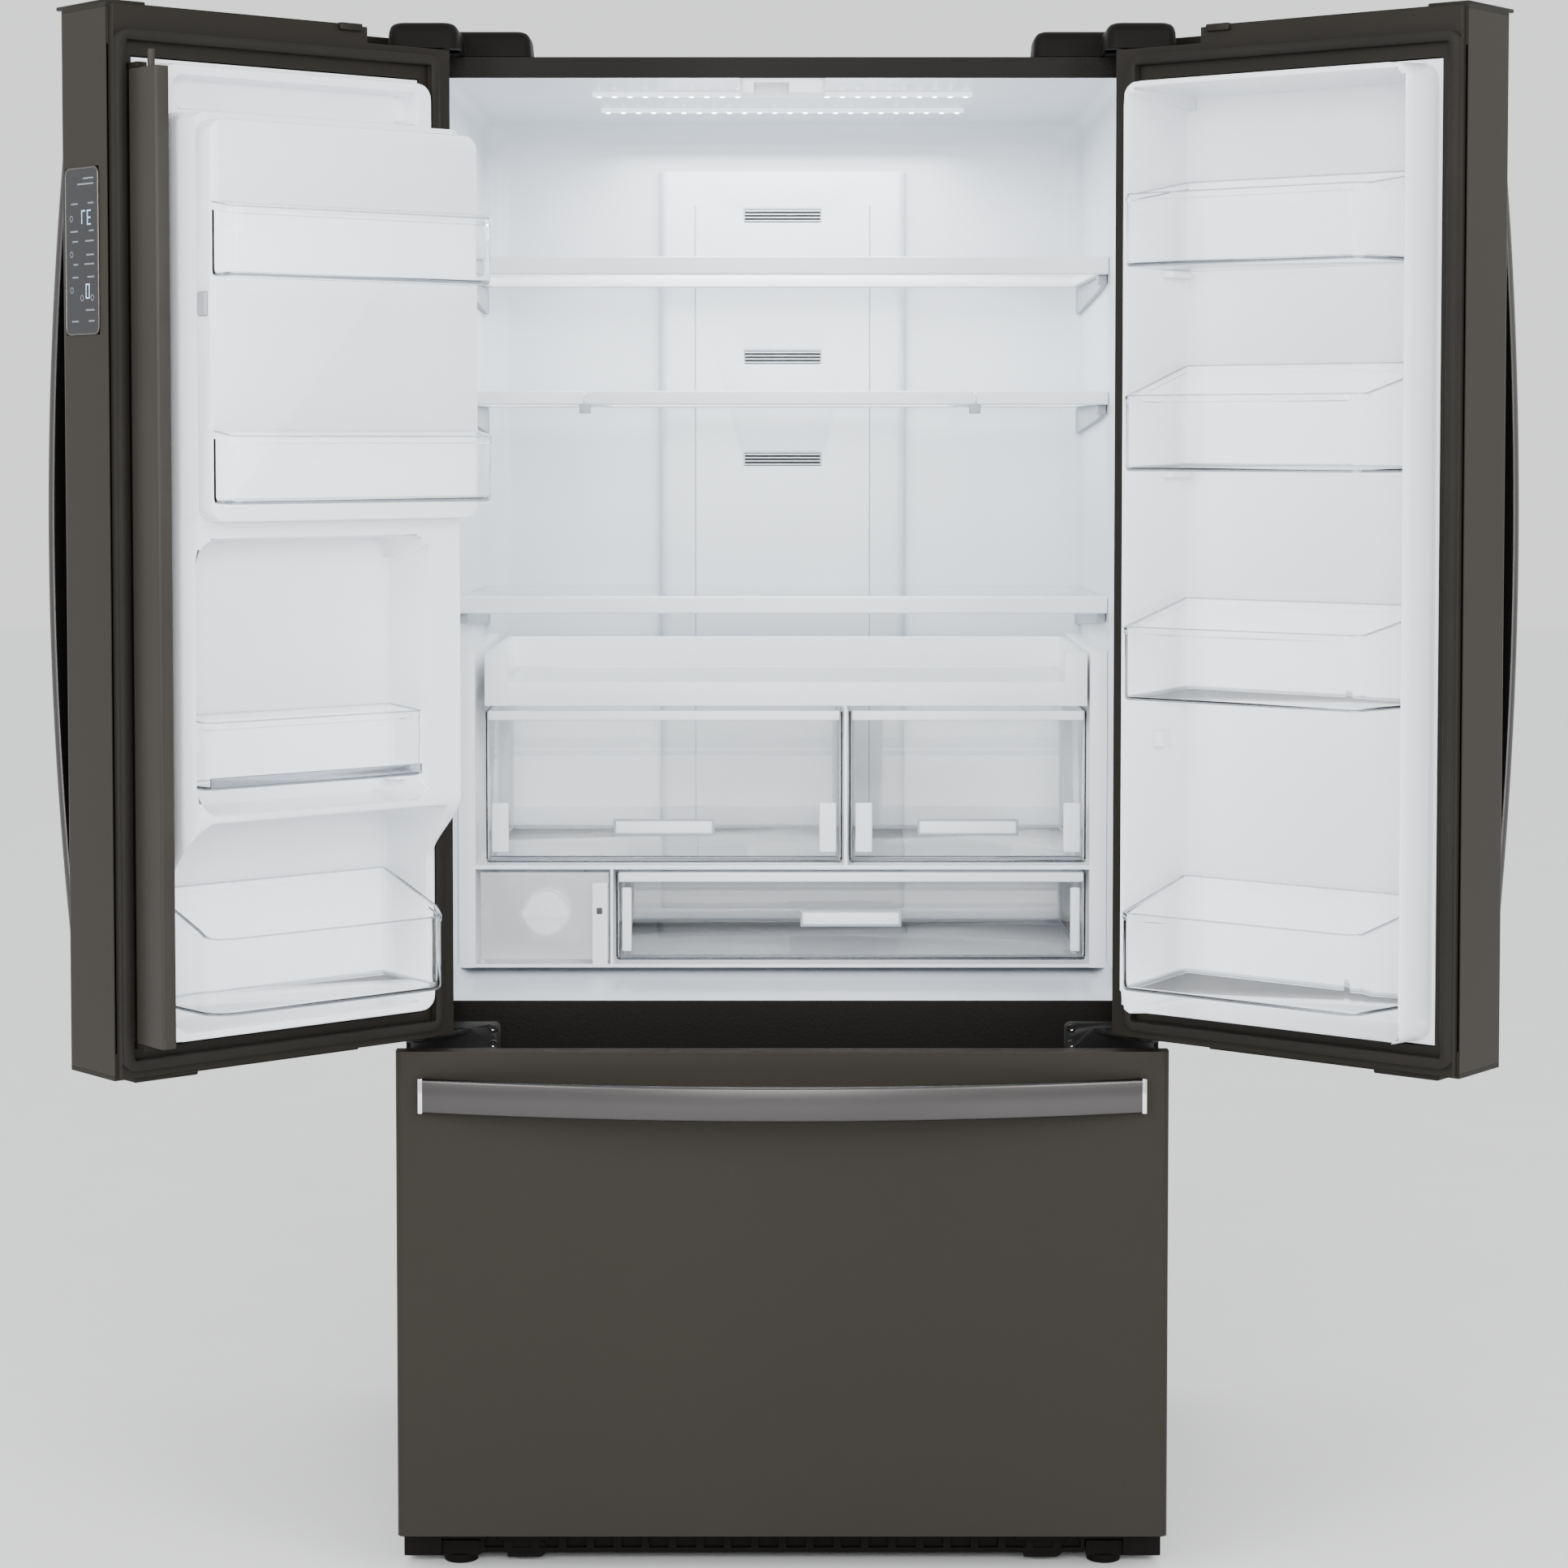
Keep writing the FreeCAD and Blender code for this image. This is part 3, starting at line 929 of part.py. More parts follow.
def right_door():
    base = liner_base(TRIM_OPENING_U[0] + 1, TRIM_OPENING_U[1] - 1)
    pad = tapered(at_u(DYKE_INSET), at_u(RIGHT_DYKE_FREE_U), at_v(LINER_BASE_V[1]), at_v(RIGHT_DYKE_DEPTH),
                  *DYKE_Z, RIGHT_DYKE_DRAFT)
    tub = bay_tub(*RIGHT_BAY_U, RIGHT_BAY_V, *RIGHT_BAY_Z)
    room = bay(*RIGHT_BAY_U, RIGHT_BAY_V, RIGHT_DYKE_DEPTH + 5, *RIGHT_BAY_Z)
    levels = [heights[0] for heights in RIGHT_BINS] + [SPARE_LUG_Z]
    lugs = [lug for z in levels for lug in bin_lugs(*RIGHT_BAY_U, 14, RIGHT_BAY_V - 1, -8, z)]
    save("right_door_skin", open_right(door_skin()))
    save("right_door_trim", open_right(door_trim()))
    save("right_door_liner", open_right(joined(joined(base, pad, tub).cut(room), *lugs)))
    save("right_door_gasket", open_right(door_gasket()))
    save("right_door_handle", open_right(door_handle()))
    trays = [door_bin(RIGHT_BIN_BACK_U, RIGHT_BIN_FRONT_U, RIGHT_BAY_V + 1, 98, heights, 16)
             for heights in RIGHT_BINS]
    save("right_door_bins", *[open_right(tray) for tray in trays])


# ---- freezer drawer
SLIDE_Z = (198.0, 232.0)
SLIDE = 8.0
SLIDE_BACK = 95.0
UPPER_BASKET_Z = (345.0, 460.0)


def freezer_drawer():
    back = SKIN_BACK_Y
    profile = [(FRONT_Y, DRAWER_BOTTOM), (FRONT_Y, DRAWER_TOP), (FRONT_Y + DRAWER_LIP, DRAWER_TOP),
               (FRONT_Y + DRAWER_LIP, DRAWER_STEP), (back, DRAWER_STEP), (back, DRAWER_BOTTOM)]
    outer = side_profile(profile, -HALF, HALF)
    outer = rounded(outer, DOOR_CORNER, Z_AXIS, lambda m: m.y < FRONT_Y + 1)
    s = DOOR_SHEET
    hollow = [(FRONT_Y + s, DRAWER_BOTTOM + s), (FRONT_Y + s, DRAWER_TOP - s),
              (FRONT_Y + DRAWER_LIP - s, DRAWER_TOP - s), (FRONT_Y + DRAWER_LIP - s, DRAWER_STEP - s),
              (back + 1, DRAWER_STEP - s), (back + 1, DRAWER_BOTTOM + s)]
    inside = rounded(side_profile(hollow, -HALF + s, HALF - s), DOOR_CORNER - s, Z_AXIS,
                     lambda m: m.y < FRONT_Y + s + 1)
    save("freezer_front", outer.cut(inside))
    plate = block(-HALF + 5, HALF - 5, back - 8, TRIM_Y, DRAWER_BOTTOM + 4, DRAWER_STEP - 4)
    plug = tapered(-FREEZER_X + 8, FREEZER_X - 8, TRIM_Y - 1, TRIM_Y + 15, FREEZER_FLOOR + 10,
                   FREEZER_CEILING - 10, 6)
    save("freezer_inner_panel", joined(plate, plug))
    gasket = ring(-FREEZER_X - 30, FREEZER_X + 30, TRIM_Y, TRIM_Y + GASKET, FREEZER_FLOOR - 14,
                  FREEZER_CEILING + 14, GASKET_WIDTH)
    save("freezer_gasket", gasket)
    handle = bowed_band(DRAWER_HANDLE_LENGTH, HANDLE_BOW, HANDLE_WIDTH)
    handle.translate(V(0, FRONT_Y, DRAWER_HANDLE_Z))
    save("freezer_handle", handle)
    inner_x = FREEZER_X - 3 * (SLIDE + RUN_CLEAR) - 1
    basket_x = inner_x - RUN_CLEAR
    basket = open_tray(-basket_x, basket_x, FLANGE_Y + 12, SLIDE_BACK, FREEZER_FLOOR + 12, 320, BIN_WALL, 20)
    rail = block(-inner_x - SLIDE, -inner_x, TRIM_Y + 15, SLIDE_BACK, *SLIDE_Z)
    save("freezer_basket", basket, *both_sides(rail))
    middle = block(-inner_x - 2 * SLIDE - RUN_CLEAR, -inner_x - SLIDE - RUN_CLEAR, FLANGE_Y + 12, SLIDE_BACK + 8,
                   SLIDE_Z[0] - 2, SLIDE_Z[1] + 2)
    save("freezer_middle_slides", *both_sides(middle))
    outer_rail = block(-FREEZER_X + 0.2, -inner_x - 2 * SLIDE - 2 * RUN_CLEAR, FLANGE_Y + 8, SLIDE_BACK + 12,
                       SLIDE_Z[0] - 4, SLIDE_Z[1] + 4)
    ledge = block(-FREEZER_X + 0.2, -basket_x + 18, FLANGE_Y + 25, SLIDE_BACK, UPPER_BASKET_Z[0] - 9,
                  UPPER_BASKET_Z[0])
    save("freezer_outer_slides", *both_sides(outer_rail), *both_sides(ledge))
    upper = open_tray(-basket_x, basket_x, FLANGE_Y + 25, SLIDE_BACK - 5, *UPPER_BASKET_Z, BIN_WALL, 20)
    save("freezer_upper_basket", upper)


def main():
    os.makedirs("parts", exist_ok=True)
    cabinet_shell()
    front_frame()
    insulation_boards()
    fridge_liner()
    freezer_liner()
    air_duct_cover()
    ceiling_lights()
    flap_guide()
    evaporator_parts()
    base_tray()
    levelling_feet()
    rear_rollers()
    toe_grille()
    compressor()
    condenser_parts()
    top_hinges()
    hinge_covers()
    centre_hinges()
    hinge_screws()
    shelves()
    crisper_frame()
    water_filter()
    filter_cover()
    crispers()
    pullout_tray()
    left_door()
    left_door_liner()
    mullion_flap()
    ice_door_parts()
    dispenser_parts()
    right_door()
    freezer_drawer()


main()
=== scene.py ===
"""French door refrigerator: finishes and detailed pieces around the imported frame. Lengths are in millimetres."""
import json
import math

import bmesh
import bpy
from mathutils import Matrix, Vector


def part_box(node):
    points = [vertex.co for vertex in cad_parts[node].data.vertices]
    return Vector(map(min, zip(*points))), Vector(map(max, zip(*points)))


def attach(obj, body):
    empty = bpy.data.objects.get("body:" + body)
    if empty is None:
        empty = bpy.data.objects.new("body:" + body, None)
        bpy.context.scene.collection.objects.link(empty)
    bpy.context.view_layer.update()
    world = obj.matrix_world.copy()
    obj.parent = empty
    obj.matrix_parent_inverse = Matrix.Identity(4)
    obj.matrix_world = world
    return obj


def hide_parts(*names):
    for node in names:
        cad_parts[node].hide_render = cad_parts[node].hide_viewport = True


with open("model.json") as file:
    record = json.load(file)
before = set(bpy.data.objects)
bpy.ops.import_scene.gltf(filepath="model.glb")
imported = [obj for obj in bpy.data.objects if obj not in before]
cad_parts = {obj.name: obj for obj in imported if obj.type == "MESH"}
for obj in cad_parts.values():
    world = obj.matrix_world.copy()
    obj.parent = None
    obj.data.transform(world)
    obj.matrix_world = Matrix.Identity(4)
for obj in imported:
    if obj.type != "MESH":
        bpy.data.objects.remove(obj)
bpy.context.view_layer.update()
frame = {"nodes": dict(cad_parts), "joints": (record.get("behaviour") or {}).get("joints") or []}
NODES = frame["nodes"]
JOINTS = {joint["name"]: joint for joint in frame["joints"]}
MM = 0.001
EVEN = (1, 1, 1)

# ---- the doors' own measures: u from the hinge side, v inwards from the trim face, z up
HALF = 451.0            # half the case's width
TRIM_Y = -377.0         # inner face of a shut door's trim
FRONT_Y = -487.0        # front face of a shut door
FREE_X = -2.0           # free edge of the shut left door
LINING_U = (47.5, 422.5)
LINING_Z = (669.5, 1746.5)
LINING_EDGE = -2.0      # v of a lining's flat edge

# ---- levels and thicknesses inside the refrigerator
WALL = 3.0              # formed walls and the clear bins' walls
SHELF_UNDERSIDES = (1377.0, 1118.0, 1538.0)
VENT_HEIGHTS = (1636.0, 1445.0, 1307.0)
RIGHT_BINS = ((1528, 1610, 1632), (1298, 1384, 1420), (1039, 1123, 1150), (708, 798, 825))
ICE_BINS = ((1506, 1586), (1265, 1344))
MIDDLE_BIN, LOWER_BIN = 956, 710

# ---- bowed handles
BAR_THICK, BAR_WIDTH, BAR_EDGE = 11.5, 40.0, 3.2
DOOR_BOW = 72.0


def closed_to_open(joint):
    """How a door drawn shut moves to the frame's rest pose."""
    pivot = Vector(JOINTS[joint]["pos_m"])
    turn = Matrix.Rotation(math.radians(-JOINTS[joint]["range_deg"][0]), 4, Vector(JOINTS[joint]["axis"]))
    return Matrix.Translation(pivot) @ turn @ Matrix.Translation(-pivot)


OPEN_LEFT = closed_to_open("left_door_hinge")
OPEN_RIGHT = closed_to_open("right_door_hinge")


def in_case(x, y, z):
    return Vector((x, y, z)) * MM


def on_left(u, v, z):
    return OPEN_LEFT @ (Vector((-HALF + u, TRIM_Y + v, z)) * MM)


def on_right(u, v, z):
    return OPEN_RIGHT @ (Vector((HALF - u, TRIM_Y + v, z)) * MM)


DOORS = (("left", "left_door", on_left), ("right", "right_door", on_right))


def box_mm(node):
    """A CAD piece's box as x0, x1, y0, y1, z0, z1."""
    low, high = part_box(node)
    return low.x / MM, high.x / MM, low.y / MM, high.y / MM, low.z / MM, high.z / MM


def both_sides(near, far):
    """The x range of a span right of the middle, and its mirror image."""
    return [sorted((side * near, side * far)) for side in (-1, 1)]


def new_object(name, data):
    made = bpy.data.objects.new(name, data)
    bpy.context.scene.collection.objects.link(made)
    return made


def settled_mesh(host):
    """The mesh that the host's modifiers make. The host is removed."""
    bpy.context.view_layer.update()
    mesh = bpy.data.meshes.new_from_object(host.evaluated_get(bpy.context.evaluated_depsgraph_get()))
    bpy.data.objects.remove(host)
    return mesh


# ---- node groups shared by the finishes
def group_socket(tree, name, kind, default=None, output=False):
    socket = tree.interface.new_socket(name, in_out="OUTPUT" if output else "INPUT", socket_type="NodeSocket" + kind)
    if default is not None:
        socket.default_value = default


def shader_group(name, inputs, outputs):
    tree = bpy.data.node_groups.new(name, "ShaderNodeTree")
    for socket_name, kind, default in inputs:
        group_socket(tree, socket_name, kind, default)
    for socket_name, kind in outputs:
        group_socket(tree, socket_name, kind, output=True)
    return tree, tree.nodes.new("NodeGroupInput"), tree.nodes.new("NodeGroupOutput")


def math_node(tree, operation, *values, clamp=False):
    """A Math node; each value is a number or another node's output."""
    node = tree.nodes.new("ShaderNodeMath")
    node.operation = operation
    node.use_clamp = clamp
    for socket, value in zip(node.inputs, values):
        if isinstance(value, (int, float)):
            socket.default_value = value
        else:
            tree.links.new(value, socket)
    return node.outputs[0]


def colour_mix(tree, factor, first):
    """A colour Mix node from the first colour; the caller sets the second, B."""
    mix = tree.nodes.new("ShaderNodeMix")
    mix.data_type = "RGBA"
    tree.links.new(factor, mix.inputs["Factor"])
    tree.links.new(first, mix.inputs["A"])
    return mix


def stretched_place(tree, stretch):
    """Object coordinates scaled by the stretch."""
    mapping = tree.nodes.new("ShaderNodeMapping")
    tree.links.new(tree.nodes.new("ShaderNodeTexCoord").outputs["Object"], mapping.inputs["Vector"])
    tree.links.new(stretch, mapping.inputs["Scale"])
    return mapping.outputs["Vector"]


def noise_at(tree, place, scale, detail):
    noise = tree.nodes.new("ShaderNodeTexNoise")
    noise.inputs["Detail"].default_value = detail
    tree.links.new(place, noise.inputs["Vector"])
    tree.links.new(scale, noise.inputs["Scale"])
    return noise.outputs["Fac"]


def mottle_group():
    """Two close colours and two roughnesses drifting over the surface."""
    tree, into, out = shader_group(
        "mottle",
        [("Colour", "Color", (1, 1, 1, 1)), ("Other colour", "Color", (1, 1, 1, 1)), ("Scale", "Float", 6.0),
         ("Stretch", "Vector", EVEN), ("Roughness", "Float", 0.4), ("Spread", "Float", 0.05)],
        [("Colour", "Color"), ("Roughness", "Float")])
    drift = noise_at(tree, stretched_place(tree, into.outputs["Stretch"]), into.outputs["Scale"], 3.0)
    sharper = math_node(tree, "MULTIPLY_ADD", drift, 2.2, -0.6, clamp=True)
    mix = colour_mix(tree, sharper, into.outputs["Colour"])
    tree.links.new(into.outputs["Other colour"], mix.inputs["B"])
    tree.links.new(mix.outputs["Result"], out.inputs["Colour"])
    offset = math_node(tree, "MULTIPLY", math_node(tree, "SUBTRACT", sharper, 0.5), into.outputs["Spread"])
    tree.links.new(math_node(tree, "ADD", into.outputs["Roughness"], offset), out.inputs["Roughness"])
    return tree


def pebble_group():
    """Leather-like pebbles pressed into paint or a moulding."""
    tree, into, out = shader_group("pebble", [("Scale", "Float", 400.0), ("Stretch", "Vector", EVEN)],
                                   [("Height", "Float")])
    place = stretched_place(tree, into.outputs["Stretch"])
    cells = tree.nodes.new("ShaderNodeTexVoronoi")
    cells.feature = "SMOOTH_F1"
    cells.inputs["Smoothness"].default_value = 0.6
    tree.links.new(place, cells.inputs["Vector"])
    tree.links.new(into.outputs["Scale"], cells.inputs["Scale"])
    rough = noise_at(tree, place, into.outputs["Scale"], 4.0)
    raised_cells = math_node(tree, "SUBTRACT", 1.0, cells.outputs["Distance"])
    tree.links.new(math_node(tree, "MULTIPLY", raised_cells, rough), out.inputs["Height"])
    return tree


def brushed_group():
    """Long fine scratches, drawn out by the stretch."""
    tree, into, out = shader_group("brushed", [("Scale", "Float", 30.0), ("Stretch", "Vector", (1, 1, 40))],
                                   [("Height", "Float")])
    lines = noise_at(tree, stretched_place(tree, into.outputs["Stretch"]), into.outputs["Scale"], 6.0)
    tree.links.new(lines, out.inputs["Height"])
    return tree


def soft_edge_group():
    """Rounds the light on a sharp edge and gives a mask along it, where a painted highlight goes."""
    tree, into, out = shader_group("soft_edge", [("Radius", "Float", 0.001)],
                                   [("Normal", "Vector"), ("Edge", "Float")])
    bevel = tree.nodes.new("ShaderNodeBevel")
    bevel.samples = 4
    tree.links.new(into.outputs["Radius"], bevel.inputs["Radius"])
    flat = tree.nodes.new("ShaderNodeNewGeometry")
    dot = tree.nodes.new("ShaderNodeVectorMath")
    dot.operation = "DOT_PRODUCT"
    tree.links.new(bevel.outputs["Normal"], dot.inputs[0])
    tree.links.new(flat.outputs["Normal"], dot.inputs[1])
    away = math_node(tree, "SUBTRACT", 1.0, dot.outputs["Value"])
    tree.links.new(math_node(tree, "MULTIPLY", away, 6.0, clamp=True), out.inputs["Edge"])
    tree.links.new(bevel.outputs["Normal"], out.inputs["Normal"])
    return tree


GROUPS = {"mottle": mottle_group(), "pebble": pebble_group(), "brushed": brushed_group(),
          "soft_edge": soft_edge_group()}


# ---- finishes
def placed_group(tree, name, **values):
    """A group node with its values; an underscore in a key is a space in the socket's name."""
    node = tree.nodes.new("ShaderNodeGroup")
    node.node_tree = GROUPS[name]
    for key, value in values.items():
        node.inputs[key.replace("_", " ")].default_value = value
    return node


def pebbled(scale, depth):
    return "pebble", scale, EVEN, depth


def brushed(scale, stretch, depth):
    return "brushed", scale, stretch, depth


def finish_made(name, colour, other, rough, spread=0.06, scale=5.0, grain=None, edge=0, highlight_colour=None,
                highlight_amount=0.25, stretch=EVEN, **plain):
    """A finish with drifting colour, an optional grain and, with an edge radius in metres, a painted highlight that
    lightens its edges.
    """
    material = bpy.data.materials.new(name)
    material.use_nodes = True
    tree = material.node_tree
    shader = tree.nodes["Principled BSDF"]
    for socket, value in plain.items():
        shader.inputs[socket.replace("_", " ")].default_value = value
    base = placed_group(tree, "mottle", Colour=(*colour, 1), Other_colour=(*other, 1), Scale=scale,
                        Stretch=stretch, Roughness=rough, Spread=spread)
    seen = base.outputs["Colour"]
    normal = None
    if edge:
        rounding = placed_group(tree, "soft_edge", Radius=edge)
        normal = rounding.outputs["Normal"]
        # Painted highlight: along the edge mask the colour goes towards a lighter one, standing in for light caught
        # on the edge.
        painted_highlight = highlight_colour or tuple(min(1.0, 1.6 * c + 0.02) for c in colour)
        mix = colour_mix(tree, math_node(tree, "MULTIPLY", rounding.outputs["Edge"], highlight_amount), seen)
        mix.inputs["B"].default_value = (*painted_highlight, 1)
        seen = mix.outputs["Result"]
    tree.links.new(seen, shader.inputs["Base Color"])
    tree.links.new(base.outputs["Roughness"], shader.inputs["Roughness"])
    if grain:
        kind, grain_scale, grain_stretch, depth = grain
        texture = placed_group(tree, kind, Scale=grain_scale, Stretch=grain_stretch)
        bump = tree.nodes.new("ShaderNodeBump")
        bump.inputs["Strength"].default_value = 0.6
        bump.inputs["Distance"].default_value = depth * MM
        tree.links.new(texture.outputs["Height"], bump.inputs["Height"])
        if normal:
            tree.links.new(normal, bump.inputs["Normal"])
        normal = bump.outputs["Normal"]
    if normal:
        tree.links.new(normal, shader.inputs["Normal"])
    return material


def clear_made(name, colour, other, rough, ior, grain=None, clarity=1.0):
    """A see-through plastic or glass that lets lamps light what is behind it."""
    material = finish_made(name, colour, other, rough, 0.02, 9.0, grain, Transmission_Weight=clarity, IOR=ior)
    tree = material.node_tree
    from_lamp = tree.nodes.new("ShaderNodeLightPath").outputs["Is Shadow Ray"]
    through = tree.nodes.new("ShaderNodeBsdfTransparent")
    mix = tree.nodes.new("ShaderNodeMixShader")
    tree.links.new(from_lamp, mix.inputs["Fac"])
    tree.links.new(tree.nodes["Principled BSDF"].outputs["BSDF"], mix.inputs[1])
    tree.links.new(through.outputs["BSDF"], mix.inputs[2])
    tree.links.new(mix.outputs["Shader"], tree.nodes["Material Output"].inputs["Surface"])
    return material


def glowing_made(name, colour, other, strength):
    """A printed mark or lens that gives off its own colour."""
    return finish_made(name, colour, other, 0.4, Emission_Color=(*colour, 1), Emission_Strength=strength)


# After the grain come an edge radius, a highlight colour and an amount, which paint a highlight along the edges.
STEEL = finish_made("black_stainless", (0.0235, 0.0205, 0.0160), (0.0205, 0.0180, 0.0142), 0.42, 0.05, 1.2,
                    brushed(26.0, (1, 1, 60), 0.02), 0.0015, (0.06, 0.054, 0.045), 0.35, (1, 1, 0.4),
                    Specular_IOR_Level=0.12)
CASE_PAINT = finish_made("case_paint", (0.0100, 0.0085, 0.0068), (0.0078, 0.0066, 0.0054), 0.5, 0.08, 2.0,
                         pebbled(420.0, 0.22), 0.0015, Specular_IOR_Level=0.12)
FLANGE_PAINT = finish_made("flange_paint", (0.0050, 0.0040, 0.0030), (0.0034, 0.0027, 0.0021), 0.46, 0.1, 3.0,
                           pebbled(300.0, 0.45), 0.0012, Specular_IOR_Level=0.12)
DARK_TRIM = finish_made("dark_trim", (0.0052, 0.0046, 0.0040), (0.0042, 0.0037, 0.0032), 0.5, 0.08, 4.0,
                        pebbled(900.0, 0.06), 0.0015, (0.022, 0.020, 0.018), 0.4, Specular_IOR_Level=0.07)
DOOR_TRIM = finish_made("door_trim", (0.0140, 0.0122, 0.0096), (0.0118, 0.0103, 0.0081), 0.44, 0.08, 4.0,
                        pebbled(900.0, 0.06), 0.0015, (0.040, 0.036, 0.030), 0.4, Specular_IOR_Level=0.12)
FLAP_PAINT = finish_made("flap_paint", (0.0275, 0.0242, 0.0200), (0.0225, 0.0200, 0.0165), 0.4, 0.08, 4.0,
                         pebbled(900.0, 0.06), 0.0015, (0.06, 0.054, 0.045), 0.5, Specular_IOR_Level=0.2)
LINER = finish_made("liner_white", (0.86, 0.885, 0.925), (0.83, 0.86, 0.905), 0.24, 0.05, 3.0,
                    pebbled(120.0, 0.02), Coat_Weight=0.3, Coat_Roughness=0.12)
# The same white plastic as the doors' lining, painted darker as shade for the light falling off inside the room.
SHADED_ROOM_LINER = finish_made("room_liner_painted_shade", (0.70, 0.735, 0.79), (0.67, 0.71, 0.765), 0.3, 0.05, 3.0,
                         pebbled(120.0, 0.02), Coat_Weight=0.2, Coat_Roughness=0.15)
WHITE = finish_made("white_moulding", (0.82, 0.84, 0.87), (0.78, 0.80, 0.84), 0.34, 0.06, 5.0,
                    pebbled(700.0, 0.03))
GREY_MOULD = finish_made("grey_moulding", (0.36, 0.38, 0.41), (0.31, 0.33, 0.36), 0.4, 0.06, 6.0,
                         pebbled(700.0, 0.03))
DARK_SLOT = finish_made("dark_slot", (0.05, 0.055, 0.06), (0.04, 0.045, 0.05), 0.6, 0.05, 6.0)
CLEAR = clear_made("clear_plastic", (1.0, 1.0, 1.0), (0.985, 0.995, 1.0), 0.02, 1.30, pebbled(60.0, 0.006))
# A whiter, rougher clear plastic for the bins' rims and bottom edges: a painted highlight for the bright lines along
# them.
CLEAR_EDGE_HIGHLIGHT = clear_made("clear_plastic_edge_highlight", (0.78, 0.83, 0.87), (0.71, 0.77, 0.82), 0.25, 1.45,
                        pebbled(120.0, 0.02))
SMOKY = clear_made("smoky_plastic", (0.52, 0.54, 0.58), (0.46, 0.48, 0.52), 0.10, 1.4, pebbled(200.0, 0.03))
FROSTED = clear_made("frosted_plastic", (0.90, 0.905, 0.915), (0.87, 0.88, 0.895), 0.26, 1.25,
                     pebbled(200.0, 0.03), 0.72)
GLASS = clear_made("shelf_glass", (0.93, 0.98, 0.965), (0.91, 0.97, 0.955), 0.02, 1.45)
RUBBER = finish_made("gasket_rubber", (0.0125, 0.0110, 0.0090), (0.0100, 0.0088, 0.0072), 0.62, 0.08, 8.0,
                     pebbled(800.0, 0.05), Specular_IOR_Level=0.15)
HANDLE = finish_made("dark_handle_steel", (0.085, 0.081, 0.080), (0.070, 0.067, 0.066), 0.28, 0.06, 3.0,
                     brushed(20.0, (1, 60, 60), 0.02), 0.0012, (0.42, 0.40, 0.39), 0.7, Metallic=1.0)
CHROME = finish_made("polished_steel", (0.80, 0.80, 0.81), (0.74, 0.74, 0.76), 0.10, 0.06, 20.0,
                     brushed(60.0, (1, 30, 1), 0.004), Metallic=1.0)
ZINC = finish_made("zinc_plate", (0.50, 0.51, 0.52), (0.38, 0.39, 0.41), 0.36, 0.14, 14.0,
                   brushed(40.0, (20, 1, 1), 0.01), Metallic=1.0)
ENAMEL = finish_made("black_enamel", (0.012, 0.012, 0.012), (0.008, 0.008, 0.008), 0.32, 0.1, 9.0,
                     pebbled(260.0, 0.05), Specular_IOR_Level=0.3)
FOAM = finish_made("rigid_foam", (0.72, 0.60, 0.34), (0.62, 0.50, 0.27), 0.9, 0.05, 30.0, pebbled(250.0, 0.5))
FINS = finish_made("bare_fins", (0.74, 0.75, 0.77), (0.62, 0.63, 0.66), 0.32, 0.1, 12.0,
                   brushed(60.0, (1, 1, 20), 0.01), Metallic=1.0)
TOUCH_GLASS = finish_made("touch_glass", (0.016, 0.016, 0.018), (0.012, 0.012, 0.014), 0.14, 0.03, 6.0,
                          None, 0.0008, (0.2, 0.2, 0.2), 0.7, Specular_IOR_Level=0.3)
MARKS = glowing_made("panel_marks", (0.20, 0.22, 0.25), (0.17, 0.19, 0.22), 0.03)
DIGITS = glowing_made("panel_digits", (0.45, 0.75, 1.0), (0.40, 0.70, 0.95), 0.25)
LENS = glowing_made("light_lens", (0.92, 0.95, 1.0), (0.88, 0.92, 0.98), 0.9)
LAMPS = glowing_made("light_dots", (0.95, 0.97, 1.0), (0.90, 0.94, 1.0), 16.0)


# ---- making pieces
def shown(name, mesh, body, material, angle=35.0, stands_for=()):
    """Puts a mesh in the scene on its body; edges sharper than the angle stay sharp."""
    mesh.materials.clear()
    mesh.materials.append(material)
    mesh.polygons.foreach_set("use_smooth", [True] * len(mesh.polygons))
    mesh.set_sharp_from_angle(angle=math.radians(angle))
    made = new_object(name, mesh)
    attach(made, body)
    if stands_for:
        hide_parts(*stands_for)


def piece(name, body, material, shapes, place=in_case, angle=35.0, stands_for=()):
    """Joins shapes, each (points, faces), into one closed mesh that rides on a body."""
    points, faces = [], []
    for shape_points, shape_faces in shapes:
        base = len(points)
        points.extend(place(*p) for p in shape_points)
        faces.extend([base + i for i in face] for face in shape_faces)
    mesh = bpy.data.meshes.new(name)
    mesh.from_pydata(points, [], faces)
    edit = bmesh.new()
    edit.from_mesh(mesh)
    bmesh.ops.remove_doubles(edit, verts=edit.verts, dist=1e-6)
    bmesh.ops.recalc_face_normals(edit, faces=edit.faces)
    edit.to_mesh(mesh)
    edit.free()
    shown(name, mesh, body, material, angle, stands_for)


def softened(name, node, body, material, width, steps=2):
    """The CAD piece with its edges really rounded."""
    mesh = NODES[node].data.copy()
    edit = bmesh.new()
    edit.from_mesh(mesh)
    bmesh.ops.remove_doubles(edit, verts=edit.verts, dist=2e-6)
    bmesh.ops.dissolve_limit(edit, angle_limit=math.radians(1.0), verts=edit.verts, edges=edit.edges)
    edit.to_mesh(mesh)
    edit.free()
    rough = new_object(name + "_rough", mesh)
    bevel = rough.modifiers.new("rounding", "BEVEL")
    bevel.width = width * MM
    bevel.segments = steps
    bevel.limit_method = "ANGLE"
    bevel.angle_limit = math.radians(30.0)
    shown(name, settled_mesh(rough), body, material, 40.0, (node,))


def finish_node(material, *names):
    for node in names:
        for slot in NODES[node].material_slots:
            slot.material = material


